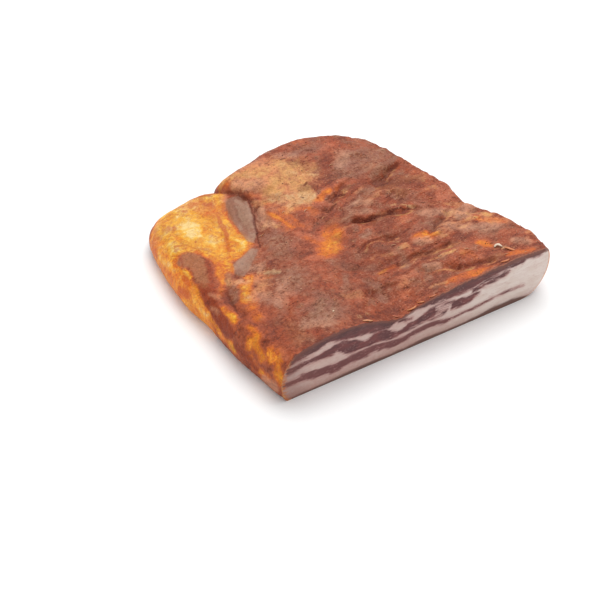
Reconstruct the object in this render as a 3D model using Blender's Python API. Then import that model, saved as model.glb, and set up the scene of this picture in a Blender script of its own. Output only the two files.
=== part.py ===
"""Slab of dry cured pancetta rubbed with paprika, lying on its rind, with one knife-cut face.

The slab is a single solid. It is drawn in millimetres with the cut along X at y = 0, the
meat behind it along +Y and the rind on z = 0. The finished mesh is moved so that the middle
of its footprint is the origin, and is scaled to metres.
"""

import math

import bmesh
import bpy
import numpy as np
from mathutils import Matrix, Vector, noise

MM = 0.001

# Driving sizes, in millimetres
CUT_LEFT = -3.0
CUT_RIGHT = 246.0
NOMINAL_DEPTH = 236.0

# Mesh density: cells along the cut, cells towards the back, rows up the side
CELLS_ALONG = 60
CELLS_DEEP = 58
ROWS_UP = 8

# How fast the inner mesh lines straighten away from the outline
OUTLINE_REACH = 3.0

# The footprint at its widest, anticlockwise from the cut's right end to its left end
FOOTPRINT = [
    (246.0, 0.0),
    (248.0, 20.0),
    (245.0, 44.0),
    (237.0, 66.0),
    (231.0, 84.0),
    (230.0, 98.0),
    (232.5, 112.0),
    (225.5, 142.0),
    (219.5, 172.0),
    (211.5, 202.0),
    (198.0, 222.0),
    (180.0, 234.0),
    (156.0, 239.5),
    (132.0, 238.5),
    (108.0, 232.5),
    (88.0, 231.0),
    (76.0, 229.0),
    (71.0, 221.0),
    (62.0, 228.5),
    (42.0, 232.0),
    (22.0, 228.5),
    (8.0, 217.0),
    (0.0, 192.0),
    (-6.0, 160.0),
    (-9.0, 130.0),
    (-10.0, 100.0),
    (-11.5, 62.0),
    (-8.0, 28.0),
    (-3.0, 0.0),
]

# Top edge of the cut face: (distance along the cut, height)
CUT_TOP = [
    (-3.0, 36.0),
    (5.0, 38.5),
    (14.0, 42.0),
    (26.0, 44.0),
    (42.0, 45.5),
    (60.0, 45.0),
    (74.0, 43.0),
    (84.0, 39.0),
    (94.0, 35.5),
    (104.0, 34.0),
    (115.0, 37.0),
    (132.0, 40.5),
    (160.0, 42.0),
    (190.0, 43.5),
    (215.0, 44.5),
    (232.0, 43.8),
    (246.0, 42.5),
]
CUT_TOP_REACH = 30.0

# Thickness of the slab behind the cut, at stations across and along it
ACROSS = (-10.0, 62.0, 94.0, 170.0, 250.0)
ALONG = (0.0, 50.0, 110.0, 170.0, 240.0)
THICKNESS = [
    (34.0, 44.0, 38.0, 42.0, 42.0),
    (32.0, 42.0, 40.0, 42.0, 41.0),
    (29.0, 38.0, 41.0, 42.0, 39.0),
    (24.0, 33.0, 40.0, 45.0, 41.0),
    (19.0, 29.0, 39.0, 44.0, 38.0),
]

# How far the side turns in above and below its widest line, for each side
TOP_ROLL = {"left": 13.0, "back": 14.0, "right": 5.5}
UNDER_ROLL = {"left": 6.0, "back": 10.0, "right": 26.0}
WIDEST_AT = {"left": 0.42, "back": 0.45, "right": 0.72}

# Lumps and hollows of the upper side: (x, y, radius along, radius across, turn in degrees, height)
LUMPS = [
    (22.0, 176.0, 34.0, 26.0, 20.0, 4.5),
    (104.0, 204.0, 26.0, 20.0, -10.0, 4.5),
    (165.0, 195.0, 44.0, 30.0, 15.0, 3.0),
    (60.0, 60.0, 40.0, 34.0, 30.0, 2.2),
    (165.0, 96.0, 30.0, 10.0, -4.0, 2.2),
    (172.0, 121.0, 34.0, 11.0, -8.0, 3.6),
    (178.0, 62.0, 34.0, 11.0, 6.0, 2.8),
    (172.0, 34.0, 34.0, 11.0, 4.0, 2.8),
    (228.0, 30.0, 16.0, 13.0, 20.0, 2.2),
    (134.0, 70.0, 14.0, 12.0, 0.0, 2.0),
    (64.0, 168.0, 9.0, 28.0, 4.0, -2.6),
    (40.0, 118.0, 20.0, 7.0, 28.0, -2.2),
    (5.0, 90.0, 7.0, 14.0, -25.0, -2.8),
    (108.0, 108.0, 18.0, 22.0, 30.0, -2.0),
    (200.0, 150.0, 26.0, 7.0, 18.0, -2.4),
    (104.0, 22.0, 12.0, 24.0, 0.0, -2.2),
]

# Creases: a line of points (x, y), its depth and its half width
CREASES = [
    ([(70, 236), (75, 216), (82, 196), (83, 176), (75, 156), (64, 138), (54, 118)], 5.5, 6.5),
    ([(82, 196), (98, 186), (118, 184)], 2.4, 6.0),
    ([(138, 108), (150, 107), (162, 106), (176, 104), (190, 102)], 4.0, 5.2),
    ([(114, 78), (122, 85), (134, 89), (148, 85), (160, 80)], 2.8, 5.0),
    ([(116, 56), (132, 53), (148, 50), (166, 51), (184, 50), (200, 46)], 2.8, 5.2),
    ([(138, 24), (156, 21), (178, 18), (200, 18), (214, 13), (226, 8)], 3.0, 5.2),
    ([(168, 151), (184, 155), (200, 160), (218, 168)], 3.2, 5.2),
    ([(120, 140), (132, 141), (142, 148), (152, 153), (164, 160)], 2.0, 5.0),
    ([(4, 104), (0, 88), (8, 74), (6, 58)], 2.6, 5.5),
    ([(43, 204), (47, 178), (44, 156), (34, 139)], 1.4, 5.0),
]

# A crease starts and ends at this share of its depth, and is full within this share of its length
CREASE_END_DEPTH = 0.25
CREASE_END_LENGTH = 0.15

# Fibres of the lean meat, which run along X and begin to show at x = 70
FIBRE_HEIGHT = 0.9
FIBRE_LENGTH = 46.0
FIBRE_SPACING = 9.0
FIBRE_SLANT = 0.12
FIBRES_FROM = 70.0
FIBRES_FULL = 120.0

# Uneven grain all over the upper side, and slow waves round the flanks, clear of the cut
GRAIN_HEIGHT = 0.7
GRAIN_SIZE = 15.0
FLANK_WAVE = 1.3
FLANK_WAVE_SIZE = 24.0
WAVE_FROM_RING = 0.85
WAVE_CLEAR_OF_CUT = 12.0
FIBRE_SEED = 1
GRAIN_SEED = 2
WAVE_SEED = 3

# Where the back's roll takes over from the flanks' roll, on the unit square
BACK_FROM = 0.35
BACK_CORNER = (0.55, 1.25)

FACES_STRAIGHT = 0.9999
EDGE_OF_CUBE = 0.999999
FLAT_ANGLE = math.radians(0.2)
SHARP_ANGLE = math.radians(50.0)

RUB_COLOUR = (0.36, 0.13, 0.07)
RUB_ROUGHNESS = 0.55
CUT_COLOUR = (0.52, 0.30, 0.28)
CUT_ROUGHNESS = 0.42


def hermite(knots, values):
    """Returns a function that runs smoothly through values at the rising knots."""
    knots = np.asarray(knots, float)
    values = np.asarray(values, float)
    slopes = np.gradient(values, knots)

    def at(x):
        x = np.clip(x, knots[0], knots[-1])
        i = np.clip(np.searchsorted(knots, x) - 1, 0, len(knots) - 2)
        width = knots[i + 1] - knots[i]
        t = (x - knots[i]) / width
        start = values[i] * (1 + 2 * t) * (1 - t) ** 2
        end = values[i + 1] * t**2 * (3 - 2 * t)
        return start + end + width * t * (1 - t) * (slopes[i] * (1 - t) - slopes[i + 1] * t)

    return at


def smoothstep(low, high, x):
    t = np.clip((x - low) / (high - low), 0.0, 1.0)
    return t * t * (3 - 2 * t)


HALF_ALONG = (CUT_RIGHT - CUT_LEFT) / 2
HALF_DEEP = NOMINAL_DEPTH / 2
MIDDLE = (CUT_LEFT + HALF_ALONG, HALF_DEEP)
FRONT_RIGHT_TURN = -math.pi / 4
FRONT_LEFT_TURN = math.pi * 5 / 4


def footprint_radius():
    """The footprint as a radius over the turn about the middle, both measured on a unit square."""
    turns, radii = [], []
    for x, y in FOOTPRINT:
        u = (x - MIDDLE[0]) / HALF_ALONG
        v = (y - MIDDLE[1]) / HALF_DEEP
        turn = math.atan2(v, u)
        turns.append(turn if turn >= FRONT_RIGHT_TURN - 1e-9 else turn + math.tau)
        radii.append(math.hypot(u, v))
    return hermite(turns, radii)


def noise_at(points, size, seed):
    """Blender's own gradient noise, from -1 to 1, at points given in millimetres."""
    offset = Vector((seed * 17.3, seed * 5.1, seed * 9.7))
    return np.array([noise.noise(Vector(p) / size + offset) for p in points])


def distance_to_line(x, y, line):
    """Distance in the plan from each point to a line of straight runs, and the share along it."""
    best = np.full(x.shape, np.inf)
    share = np.zeros(x.shape)
    runs = len(line) - 1
    for k in range(runs):
        ax, ay = line[k]
        bx, by = line[k + 1]
        dx, dy = bx - ax, by - ay
        t = np.clip(((x - ax) * dx + (y - ay) * dy) / (dx * dx + dy * dy), 0.0, 1.0)
        away = np.hypot(x - ax - t * dx, y - ay - t * dy)
        nearer = away < best
        best = np.where(nearer, away, best)
        share = np.where(nearer, (k + t) / runs, share)
    return best, share


def thickness_at(x, y):
    """Thickness of the slab from the stations, joined smoothly both ways."""
    rows = np.array([hermite(ACROSS, row)(x) for row in THICKNESS])
    y = np.clip(y, ALONG[0], ALONG[-1])
    i = np.clip(np.searchsorted(ALONG, y) - 1, 0, len(ALONG) - 2)
    stations = np.asarray(ALONG)
    width = stations[i + 1] - stations[i]
    t = smoothstep(0.0, 1.0, (y - stations[i]) / width)
    columns = np.arange(len(x))
    return rows[i, columns] * (1 - t) + rows[i + 1, columns] * t


def height_at(x, y):
    """Height of the upper side over the rind, at plan positions in millimetres."""
    height = thickness_at(x, y)
    for cx, cy, along, across, turn, rise in LUMPS:
        c, s = math.cos(math.radians(turn)), math.sin(math.radians(turn))
        a = ((x - cx) * c + (y - cy) * s) / along
        b = ((y - cy) * c - (x - cx) * s) / across
        height = height + rise * np.exp(-(a * a + b * b))
    near_cut = 1 - smoothstep(0.0, CUT_TOP_REACH, y)
    stations, tops = zip(*CUT_TOP)
    height = height * (1 - near_cut) + hermite(stations, tops)(x) * near_cut
    for line, depth, half_width in CREASES:
        away, share = distance_to_line(x, y, line)
        from_end = smoothstep(0.0, CREASE_END_LENGTH, np.minimum(share, 1 - share))
        fade = CREASE_END_DEPTH + (1 - CREASE_END_DEPTH) * from_end
        height = height - depth * fade * np.exp(-((away / half_width) ** 2))
    along_fibre = np.stack([x / FIBRE_LENGTH, (y - FIBRE_SLANT * x) / FIBRE_SPACING, 0 * x], 1)
    lean = smoothstep(FIBRES_FROM, FIBRES_FULL, x)
    height = height + FIBRE_HEIGHT * lean * noise_at(along_fibre, 1.0, FIBRE_SEED)
    return height + GRAIN_HEIGHT * noise_at(np.stack([x, y, 0 * x], 1), GRAIN_SIZE, GRAIN_SEED)


def by_side(values, u, v):
    """A value that changes from side to side of the unit square."""
    back = smoothstep(BACK_FROM, 1.0, v) * (1 - smoothstep(*BACK_CORNER, np.abs(u)))
    flank = np.where(u < 0, values["left"], values["right"])
    return flank * (1 - back) + values["back"] * back


def slab_points(u, v, w):
    """Carries points of the cube from -1 to 1 to the slab, in millimetres."""
    angle = w * math.pi / 2
    widest = by_side(WIDEST_AT, u, v)
    upper = widest + (1 - widest) * np.sin(angle)
    lower = widest + widest * np.sin(angle)
    level = np.where(w > 0, upper, lower)
    roll = np.where(w > 0, by_side(TOP_ROLL, u, v), by_side(UNDER_ROLL, u, v))
    inset = roll * (1 - np.cos(angle))
    u_in = u * (1 - inset / HALF_ALONG)
    v_in = v - (v + 1) / 2 * inset / HALF_DEEP

    turn = np.arctan2(v_in, u_in)
    turn = np.where(turn < FRONT_RIGHT_TURN, turn + math.tau, turn)
    ring = np.maximum(np.abs(u_in), np.abs(v_in))
    square = 1 / np.maximum(np.abs(np.cos(turn)), np.abs(np.sin(turn)))
    outline = footprint_radius()(turn)
    outer = np.maximum(np.abs(u), np.abs(v)) ** OUTLINE_REACH
    in_front = turn > FRONT_LEFT_TURN
    radius = np.where(in_front, square, square + (outline - square) * outer)
    x = MIDDLE[0] + HALF_ALONG * ring * radius * np.cos(turn)
    y = MIDDLE[1] + HALF_DEEP * ring * radius * np.sin(turn)
    y = np.where(v < -EDGE_OF_CUBE, 0.0, y)

    z = level * height_at(x, y)
    flank = np.cos(angle) * smoothstep(WAVE_FROM_RING, 1.0, ring) * smoothstep(0.0, WAVE_CLEAR_OF_CUT, y)
    wave = FLANK_WAVE * flank * noise_at(np.stack([x, y, z], 1), FLANK_WAVE_SIZE, WAVE_SEED)
    x = x + wave * np.cos(turn)
    y = y + wave * np.sin(turn)
    z = np.where(w < -EDGE_OF_CUBE, 0.0, z)
    return np.stack([x, y, z], 1)


def divided_cube():
    """A cube from -1 to 1 with its sides cut into cells."""
    mesh = bmesh.new()
    bmesh.ops.create_cube(mesh, size=2.0)
    for axis, cells in enumerate((CELLS_ALONG, CELLS_DEEP, ROWS_UP)):
        edges = [e for e in mesh.edges if abs(e.verts[0].co[axis] - e.verts[1].co[axis]) > 1.0]
        bmesh.ops.subdivide_edges(mesh, edges=edges, cuts=cells - 1, use_grid_fill=True)
    return mesh


def make_material(name, colour, roughness):
    material = bpy.data.materials.new(name)
    material.use_nodes = True
    shader = material.node_tree.nodes["Principled BSDF"]
    shader.inputs["Base Color"].default_value = (*colour, 1.0)
    shader.inputs["Roughness"].default_value = roughness
    shader.inputs["Metallic"].default_value = 0.0
    return material


def make_slab(collection):
    """The whole slab: a divided cube shaped by slab_points, with flat faces under it and at the cut."""
    mesh = divided_cube()
    cube = np.array([v.co for v in mesh.verts])
    points = slab_points(cube[:, 0], cube[:, 1], cube[:, 2])
    for vertex, point in zip(mesh.verts, points):
        vertex.co = point
    mesh.normal_update()
    flat = [f for f in mesh.faces if -min(f.normal.y, f.normal.z) > FACES_STRAIGHT]
    flat_vertices = list({v for f in flat for v in f.verts})
    flat_edges = list({e for f in flat for e in f.edges})
    bmesh.ops.dissolve_limit(
        mesh, angle_limit=FLAT_ANGLE, verts=flat_vertices, edges=flat_edges, delimit={"NORMAL"}
    )
    low, high = points.min(0), points.max(0)
    centre = Vector((-(low[0] + high[0]) / 2, -(low[1] + high[1]) / 2, 0.0))
    bmesh.ops.transform(mesh, matrix=Matrix.Translation(centre), verts=mesh.verts)
    bmesh.ops.scale(mesh, vec=(MM, MM, MM), verts=mesh.verts)
    for face in mesh.faces:
        face.material_index = 1 if -face.normal.y > FACES_STRAIGHT else 0

    data = bpy.data.meshes.new("pancetta_slab")
    mesh.to_mesh(data)
    mesh.free()
    slab = bpy.data.objects.new("pancetta_slab", data)
    collection.objects.link(slab)
    data.materials.append(make_material("paprika_rub", RUB_COLOUR, RUB_ROUGHNESS))
    data.materials.append(make_material("cut_meat", CUT_COLOUR, CUT_ROUGHNESS))
    data.shade_smooth()
    data.set_sharp_from_angle(angle=SHARP_ANGLE)
    return slab


def main():
    for obj in list(bpy.data.objects):
        bpy.data.objects.remove(obj)
    collection = bpy.data.collections.new("pancetta")
    bpy.context.scene.collection.children.link(collection)
    make_slab(collection)


main()
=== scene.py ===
import math

import bpy
import numpy as np
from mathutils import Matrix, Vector, noise
from mathutils.bvhtree import BVHTree


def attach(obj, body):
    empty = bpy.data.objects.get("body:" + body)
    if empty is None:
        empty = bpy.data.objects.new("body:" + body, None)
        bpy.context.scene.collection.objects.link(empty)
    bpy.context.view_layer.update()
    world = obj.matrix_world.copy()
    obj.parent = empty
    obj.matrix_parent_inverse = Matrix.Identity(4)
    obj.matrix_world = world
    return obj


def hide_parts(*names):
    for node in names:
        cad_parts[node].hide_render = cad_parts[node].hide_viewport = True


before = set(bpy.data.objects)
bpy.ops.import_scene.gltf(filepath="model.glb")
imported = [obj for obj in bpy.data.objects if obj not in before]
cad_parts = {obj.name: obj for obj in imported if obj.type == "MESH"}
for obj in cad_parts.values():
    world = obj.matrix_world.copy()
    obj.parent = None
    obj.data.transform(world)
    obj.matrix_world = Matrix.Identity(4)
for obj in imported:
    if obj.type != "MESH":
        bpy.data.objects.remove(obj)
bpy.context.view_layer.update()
print("frame loaded")

# The slab is worked out in millimetres: the cut runs along x at y = 0, the meat lies behind it
# and the rind is z = 0. Outlines and lines are written flat, as x, y, x, y and so on.
mm = 0.001
middle = (118.7095, 119.7474)  # this point of the footprint is the frame's origin


# Small helpers for shapes

def pairs(values):
    return list(zip(values[::2], values[1::2]))


def smoothStep(low, high, x):
    t = np.clip((x - low) / (high - low), 0.0, 1.0)
    return t * t * (3 - 2 * t)


def smoothRun(knots, values):  # a smooth line through values at rising knots
    knots = np.asarray(knots, float)
    values = np.asarray(values, float)
    slopes = np.gradient(values, knots)

    def at(x):
        x = np.clip(x, knots[0], knots[-1])
        i = np.clip(np.searchsorted(knots, x) - 1, 0, len(knots) - 2)
        width = knots[i + 1] - knots[i]
        t = (x - knots[i]) / width
        start = values[i] * (1 + 2 * t) * (1 - t) ** 2
        end = values[i + 1] * t**2 * (3 - 2 * t)
        return start + end + width * t * (1 - t) * (slopes[i] * (1 - t) - slopes[i + 1] * t)

    return at


def noiseAt(x, y, z, size, seed):  # -1 to 1
    offset = Vector((seed * 17.3, seed * 5.1, seed * 9.7))
    points = np.stack([x, y, z], 1) / size
    return np.array([noise.noise(Vector(p) + offset) for p in points])


def wander(x, y, waves, seed):  # a sum of flat noises, each (height, size)
    flat = np.zeros(x.shape)
    return sum(rise * noiseAt(x, y, flat, size, seed + n) for n, (rise, size) in enumerate(waves))


def distanceToLine(x, y, line):  # how far each point is, how far along, and its side: left of travel is 1
    best = np.full(x.shape, np.inf)
    share = np.zeros(x.shape)
    side = np.ones(x.shape)
    runs = len(line) - 1
    for k in range(runs):
        (ax, ay), (bx, by) = line[k], line[k + 1]
        dx, dy = bx - ax, by - ay
        t = np.clip(((x - ax) * dx + (y - ay) * dy) / (dx * dx + dy * dy), 0.0, 1.0)
        away = np.hypot(x - ax - t * dx, y - ay - t * dy)
        nearer = away < best
        best = np.where(nearer, away, best)
        share = np.where(nearer, (k + t) / runs, share)
        side = np.where(nearer, np.sign(dx * (y - ay) - dy * (x - ax)), side)
    return best, share, side


farthest = 12.0  # distances from an outline count no further


def insideDistance(x, y, outline):  # millimetres from a closed outline, positive inside it
    corners = np.array(outline, float)
    low, high = corners.min(0) - farthest, corners.max(0) + farthest
    near = (x > low[0]) & (x < high[0]) & (y > low[1]) & (y < high[1])
    result = np.full(x.shape, -farthest)
    px, py = x[near], y[near]
    away = distanceToLine(px, py, outline + outline[:1])[0]
    inside = np.zeros(px.shape, bool)
    for (ax, ay), (bx, by) in zip(outline, outline[1:] + outline[:1]):
        if ay != by:
            crosses = (ay > py) != (by > py)
            inside ^= crosses & (px < (bx - ax) * (py - ay) / (by - ay) + ax)
    result[near] = np.clip(np.where(inside, away, -away), -farthest, farthest)
    return result


def newObject(name, data):
    made = bpy.data.objects.new(name, data)
    bpy.context.scene.collection.objects.link(made)
    return made


# The slab's own shape

slab = {
    "cutLeft": -3.0,
    "cutRight": 246.0,
    "depth": 236.0,
    "cellsAlong": 224,
    "cellsDeep": 212,
    "rowsUp": 50,
    "outlineReach": 3.0,  # how fast the inner mesh lines straighten away from the outline
    "footprint": (
        246, 0, 248, 20, 245, 44, 237, 66, 231, 84, 230, 98, 232.5, 112, 225.5, 142, 219.5, 172, 211.5, 202,
        198, 222, 180, 234, 156, 239.5, 132, 238.5, 108, 232.5, 88, 231, 76, 229, 71, 221, 62, 228.5, 42, 232,
        22, 228.5, 8, 217, 0, 192, -6, 160, -8, 130, -7, 100, -8.5, 62, -6, 28, -3, 0,
    ),
    "cutTop": (
        -3, 36, 5, 38.5, 14, 42, 26, 44, 42, 45.5, 60, 45, 74, 43, 84, 39, 94, 35.5, 104, 34, 115, 37,
        132, 40.5, 160, 42, 190, 43.5, 215, 44.5, 232, 43.8, 246, 42.5,
    ),
    "cutTopReach": 30.0,
    "across": (-10, 62, 94, 170, 250),
    "along": (0, 50, 110, 170, 240),
    "thickness": [
        (34, 44, 38, 42, 42),
        (32, 42, 40, 42, 41),
        (29, 38, 41, 42, 39),
        (24, 33, 40, 45, 41),
        (19, 29, 39, 44, 38),
    ],
    "topRoll": {"left": 13.0, "back": 14.0, "right": 5.5},  # how far the side turns in above its widest line
    "underRoll": {"left": 6.0, "back": 10.0, "right": 26.0},
    "widestAt": {"left": 0.42, "back": 0.45, "right": 0.72},
    "sideBlend": {"back": (0.35, 1.0), "corner": (0.55, 1.25), "flank": (-0.8, 0.8)},
    # x, y, radius along, radius across, turn in degrees, rise
    "lumps": [
        (22, 176, 34, 26, 20, 4.5), (104, 204, 26, 20, -10, 4.5), (165, 195, 44, 30, 15, 3),
        (60, 60, 40, 34, 30, 2.2), (165, 96, 30, 10, -4, 2.2), (172, 121, 34, 11, -8, 3.6),
        (178, 62, 34, 11, 6, 2.8), (172, 34, 34, 11, 4, 2.8), (228, 30, 16, 13, 20, 2.2),
        (134, 70, 14, 12, 0, 2), (64, 168, 9, 28, 4, -2.6), (40, 118, 20, 7, 28, -2.2),
        (5, 90, 7, 14, -25, -2.8), (108, 108, 18, 22, 30, -2), (200, 150, 26, 7, 18, -2.4),
        (104, 22, 12, 24, 0, -2.2),
    ],
    # depth, width on the gentle side, width on the steep side, which is left of travel, and the line
    "folds": [
        (3.6, 4.5, 2.4, 68, 250, 72, 236, 75, 220, 80, 204, 84, 190, 85, 182),
        (1.8, 5, 2.4, 83, 192, 84, 178, 77, 158, 66, 140, 58, 126), (1.3, 6, 3, 84, 192, 98, 184, 118, 182),
        (4.2, 6, 1.5, 132, 112, 140, 110.5, 150, 107, 160, 105, 172, 104, 184, 101, 195, 96),
        (2.6, 5, 1.6, 115, 74, 120, 79, 127, 82, 134, 82, 142, 79, 152, 77, 162, 76),
        (2, 5, 1.6, 121, 49, 132, 47, 145, 48, 155, 48.5, 166, 46, 178, 46, 190, 47),
        (2.6, 5, 1.6, 140, 32, 150, 29, 162, 24, 174, 19, 184, 16, 194, 12.5, 206, 10),
        (3, 6, 2.2, 172, 140, 184, 146, 197, 153, 214, 159),
        (2.4, 4, 1.8, 120, 134, 130, 138, 140, 145, 152, 151, 164, 158),
        (2.6, 5, 1.6, 166, 62, 182, 67, 196, 76, 206, 83, 222, 88),
        (2, 4.5, 1.6, 196, 58, 208, 62, 220, 70, 230, 78), (1.6, 3, 1.6, 86, 20, 92, 28, 99, 38),
        (2, 5, 1.8, 140, 124, 156, 126, 172, 124, 190, 118), (2, 4.5, 2.4, 4, 58, 7, 74, 9, 90, 12, 104),
        (1.8, 4.5, 1.6, 98, 62, 112, 65, 126, 66, 140, 62), (1.4, 5, 4, 43, 204, 47, 178, 44, 156, 34, 139),
        (1.6, 4, 1.6, 88, 27, 100, 33, 111, 33, 122, 31, 134, 33),
        (1.8, 5, 2, 150, 64, 164, 56, 182, 58, 204, 66, 222, 76),
    ],
    "foldEnd": (0.25, 0.15),  # share of the depth left at a fold's ends, and the length over which it fades
    "foldHighlight": (3.8, 2.2),  # the painted highlight on the gentle side: its distance from the line and half width
    "foldWander": {"x": [(1.6, 8.0), (0.8, 3.2)], "y": [(3.0, 15.0), (1.8, 6.0)]},
    "foldUneven": {"mean": 1.05, "waves": [(0.9, 13.0)], "range": (0.3, 1.4)},  # share of the depth
    "foldSharpness": 1.3,
    "highlightFrom": (1.0, 3.0),  # how deep a fold is where its painted highlight starts, and where it is full
    # smooth skin that lies proud of the rub
    "smoothSkin": [
        (69, 197, 65, 186, 62, 170, 59, 155, 56, 142, 60, 138, 69, 149, 75, 162, 80, 176, 83, 188, 81, 197,
         75, 199),
        (28, 110, 28, 116, 32, 124, 38, 127, 44, 129, 54, 133, 58, 129, 54, 124, 46, 118, 37, 110, 31, 107),
    ],
    "skinEdge": (-2.2, 2.0),
    "skinRise": 0.7,
    "skinCalm": 0.75,  # share of the relief that the skin hides
    # relief along the muscle (height, length along it, spacing across it) and all over (height, size)
    "fibres": [(0.7, 46.0, 9.0), (0.5, 26.0, 4.6), (0.3, 15.0, 2.7)],
    "fibreSlant": 0.12,
    "fibresFrom": (70.0, 120.0),
    "muscleTo": (140.0, 170.0, 0.8),  # from, to, and how much of it is gone there
    "gritTo": {"drop": 30.0, "sink": 1.2},  # no grains lower on the flanks or deeper in the folds
    "grain": [(0.8, 15.0), (0.5, 6.5), (0.3, 3.2)],
    # rounded folds with sharp valleys between them, which run across the muscle on the right
    "ridges": {
        "rise": 3.6, "length": 58.0, "spacing": 11.5, "level": 0.17, "wander": [(2.5, 26.0)],
        "from": (98.0, 132.0), "cut": (5.0, 24.0), "back": (176.0, 206.0),
    },
    "flankWaves": [(1.3, 24.0, 3), (0.3, 5.0, 31), (0.12, 2.8, 32)],  # height, size, seed
    "flankFrom": {"ring": (0.85, 1.0), "cut": (0.0, 12.0)},
    "leanSinks": 0.3,  # dried lean lies behind the fat on the cut
    "paintDrift": [(1.4, 11.0), (1.0, 4.0)],
}

halfAlong = (slab["cutRight"] - slab["cutLeft"]) / 2
halfDeep = slab["depth"] / 2
centre = (slab["cutLeft"] + halfAlong, halfDeep)
frontRightTurn = -math.pi / 4
frontLeftTurn = math.pi * 5 / 4
nearEdge = -0.999999  # a cube position below this lies on its low face


def footprintRadius():  # the footprint as a radius over the turn about its centre, on a unit square
    turns, radii = [], []
    for x, y in pairs(slab["footprint"]):
        u = (x - centre[0]) / halfAlong
        v = (y - centre[1]) / halfDeep
        turn = math.atan2(v, u)
        turns.append(turn if turn >= frontRightTurn - 1e-9 else turn + math.tau)
        radii.append(math.hypot(u, v))
    return smoothRun(turns, radii)


def thicknessAt(x, y):
    rows = np.array([smoothRun(slab["across"], row)(x) for row in slab["thickness"]])
    stations = np.asarray(slab["along"], float)
    y = np.clip(y, stations[0], stations[-1])
    i = np.clip(np.searchsorted(stations, y) - 1, 0, len(stations) - 2)
    t = smoothStep(0.0, 1.0, (y - stations[i]) / (stations[i + 1] - stations[i]))
    columns = np.arange(len(x))
    return rows[i, columns] * (1 - t) + rows[i + 1, columns] * t


def skinAt(x, y):  # 1 on the smooth skin, 0 elsewhere
    outlines = map(pairs, slab["smoothSkin"])
    return np.max([smoothStep(*slab["skinEdge"], insideDistance(x, y, outline)) for outline in outlines], 0)


def ridgesAt(x, y, flat):  # how high each point stands on the folds across the muscle, in millimetres
    ridges = slab["ridges"]
    over = (y - slab["fibreSlant"] * x + wander(x, y, ridges["wander"], 52)) / ridges["spacing"]
    waves = np.abs(noiseAt(x / ridges["length"], over, flat, 1.0, 51))
    reach = smoothStep(*ridges["from"], x) * smoothStep(*ridges["cut"], y)
    reach = reach * (1 - smoothStep(*ridges["back"], y))
    return ridges["rise"] * reach * (waves - ridges["level"])


def heightAt(x, y):  # height of the upper side, depth in a fold, height on a ridge and share of the painted highlight beside a fold
    flat = np.zeros(x.shape)
    height = thicknessAt(x, y)
    for cx, cy, along, across, turn, rise in slab["lumps"]:
        c, s = math.cos(math.radians(turn)), math.sin(math.radians(turn))
        a = ((x - cx) * c + (y - cy) * s) / along
        b = ((y - cy) * c - (x - cx) * s) / across
        height = height + rise * np.exp(-(a * a + b * b))
    nearCut = 1 - smoothStep(0.0, slab["cutTopReach"], y)
    height = height * (1 - nearCut) + smoothRun(slab["cutTop"][::2], slab["cutTop"][1::2])(x) * nearCut
    sink = np.zeros(x.shape)
    lip = np.zeros(x.shape)
    highlightAway, highlightWidth = slab["foldHighlight"]
    shiftedX = x + wander(x, y, slab["foldWander"]["x"], 21)
    shiftedY = y + wander(x, y, slab["foldWander"]["y"], 23)
    endDepth, endLength = slab["foldEnd"]
    for depth, gentle, steep, *line in slab["folds"]:
        away, share, side = distanceToLine(shiftedX, shiftedY, pairs(line))
        fade = endDepth + (1 - endDepth) * smoothStep(0.0, endLength, np.minimum(share, 1 - share))
        width = np.where(side > 0, steep, gentle)
        sink = np.maximum(sink, depth * fade * np.exp(-((away / width) ** slab["foldSharpness"])))
        # painted highlight: a pale band along the gentle side of each fold
        beside = np.exp(-(((away - highlightAway) / highlightWidth) ** 2)) * (side < 0)
        lip = np.maximum(lip, fade * beside * smoothStep(*slab["highlightFrom"], depth))
    uneven = slab["foldUneven"]
    share = np.clip(uneven["mean"] + wander(x, y, uneven["waves"], 25), *uneven["range"])
    sink = sink * share
    lip = lip * share
    crest = ridgesAt(x, y, flat)
    height = height - sink + crest
    onMuscle = smoothStep(*slab["fibresFrom"], x)
    skin = skinAt(x, y)
    calm = 1 - slab["skinCalm"] * skin
    for k, (rise, length, spacing) in enumerate(slab["fibres"]):
        waves = noiseAt(x / length, (y - slab["fibreSlant"] * x) / spacing, flat, 1.0, 1 + 10 * k)
        height = height + rise * onMuscle * calm * waves
        crest = crest + rise * onMuscle * waves
    for k, (rise, size) in enumerate(slab["grain"]):
        bumps = rise * noiseAt(x, y, flat, size, 2 + 10 * k)
        height = height + (calm if k else 1) * bumps
        crest = crest + bumps
    return height + slab["skinRise"] * skin, sink, crest, lip


def bySide(values, u, v):  # a value that changes from side to side of the unit square
    blend = slab["sideBlend"]
    back = smoothStep(*blend["back"], v) * (1 - smoothStep(*blend["corner"], np.abs(u)))
    flank = values["left"] + (values["right"] - values["left"]) * smoothStep(*blend["flank"], u)
    return flank * (1 - back) + values["back"] * back


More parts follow.
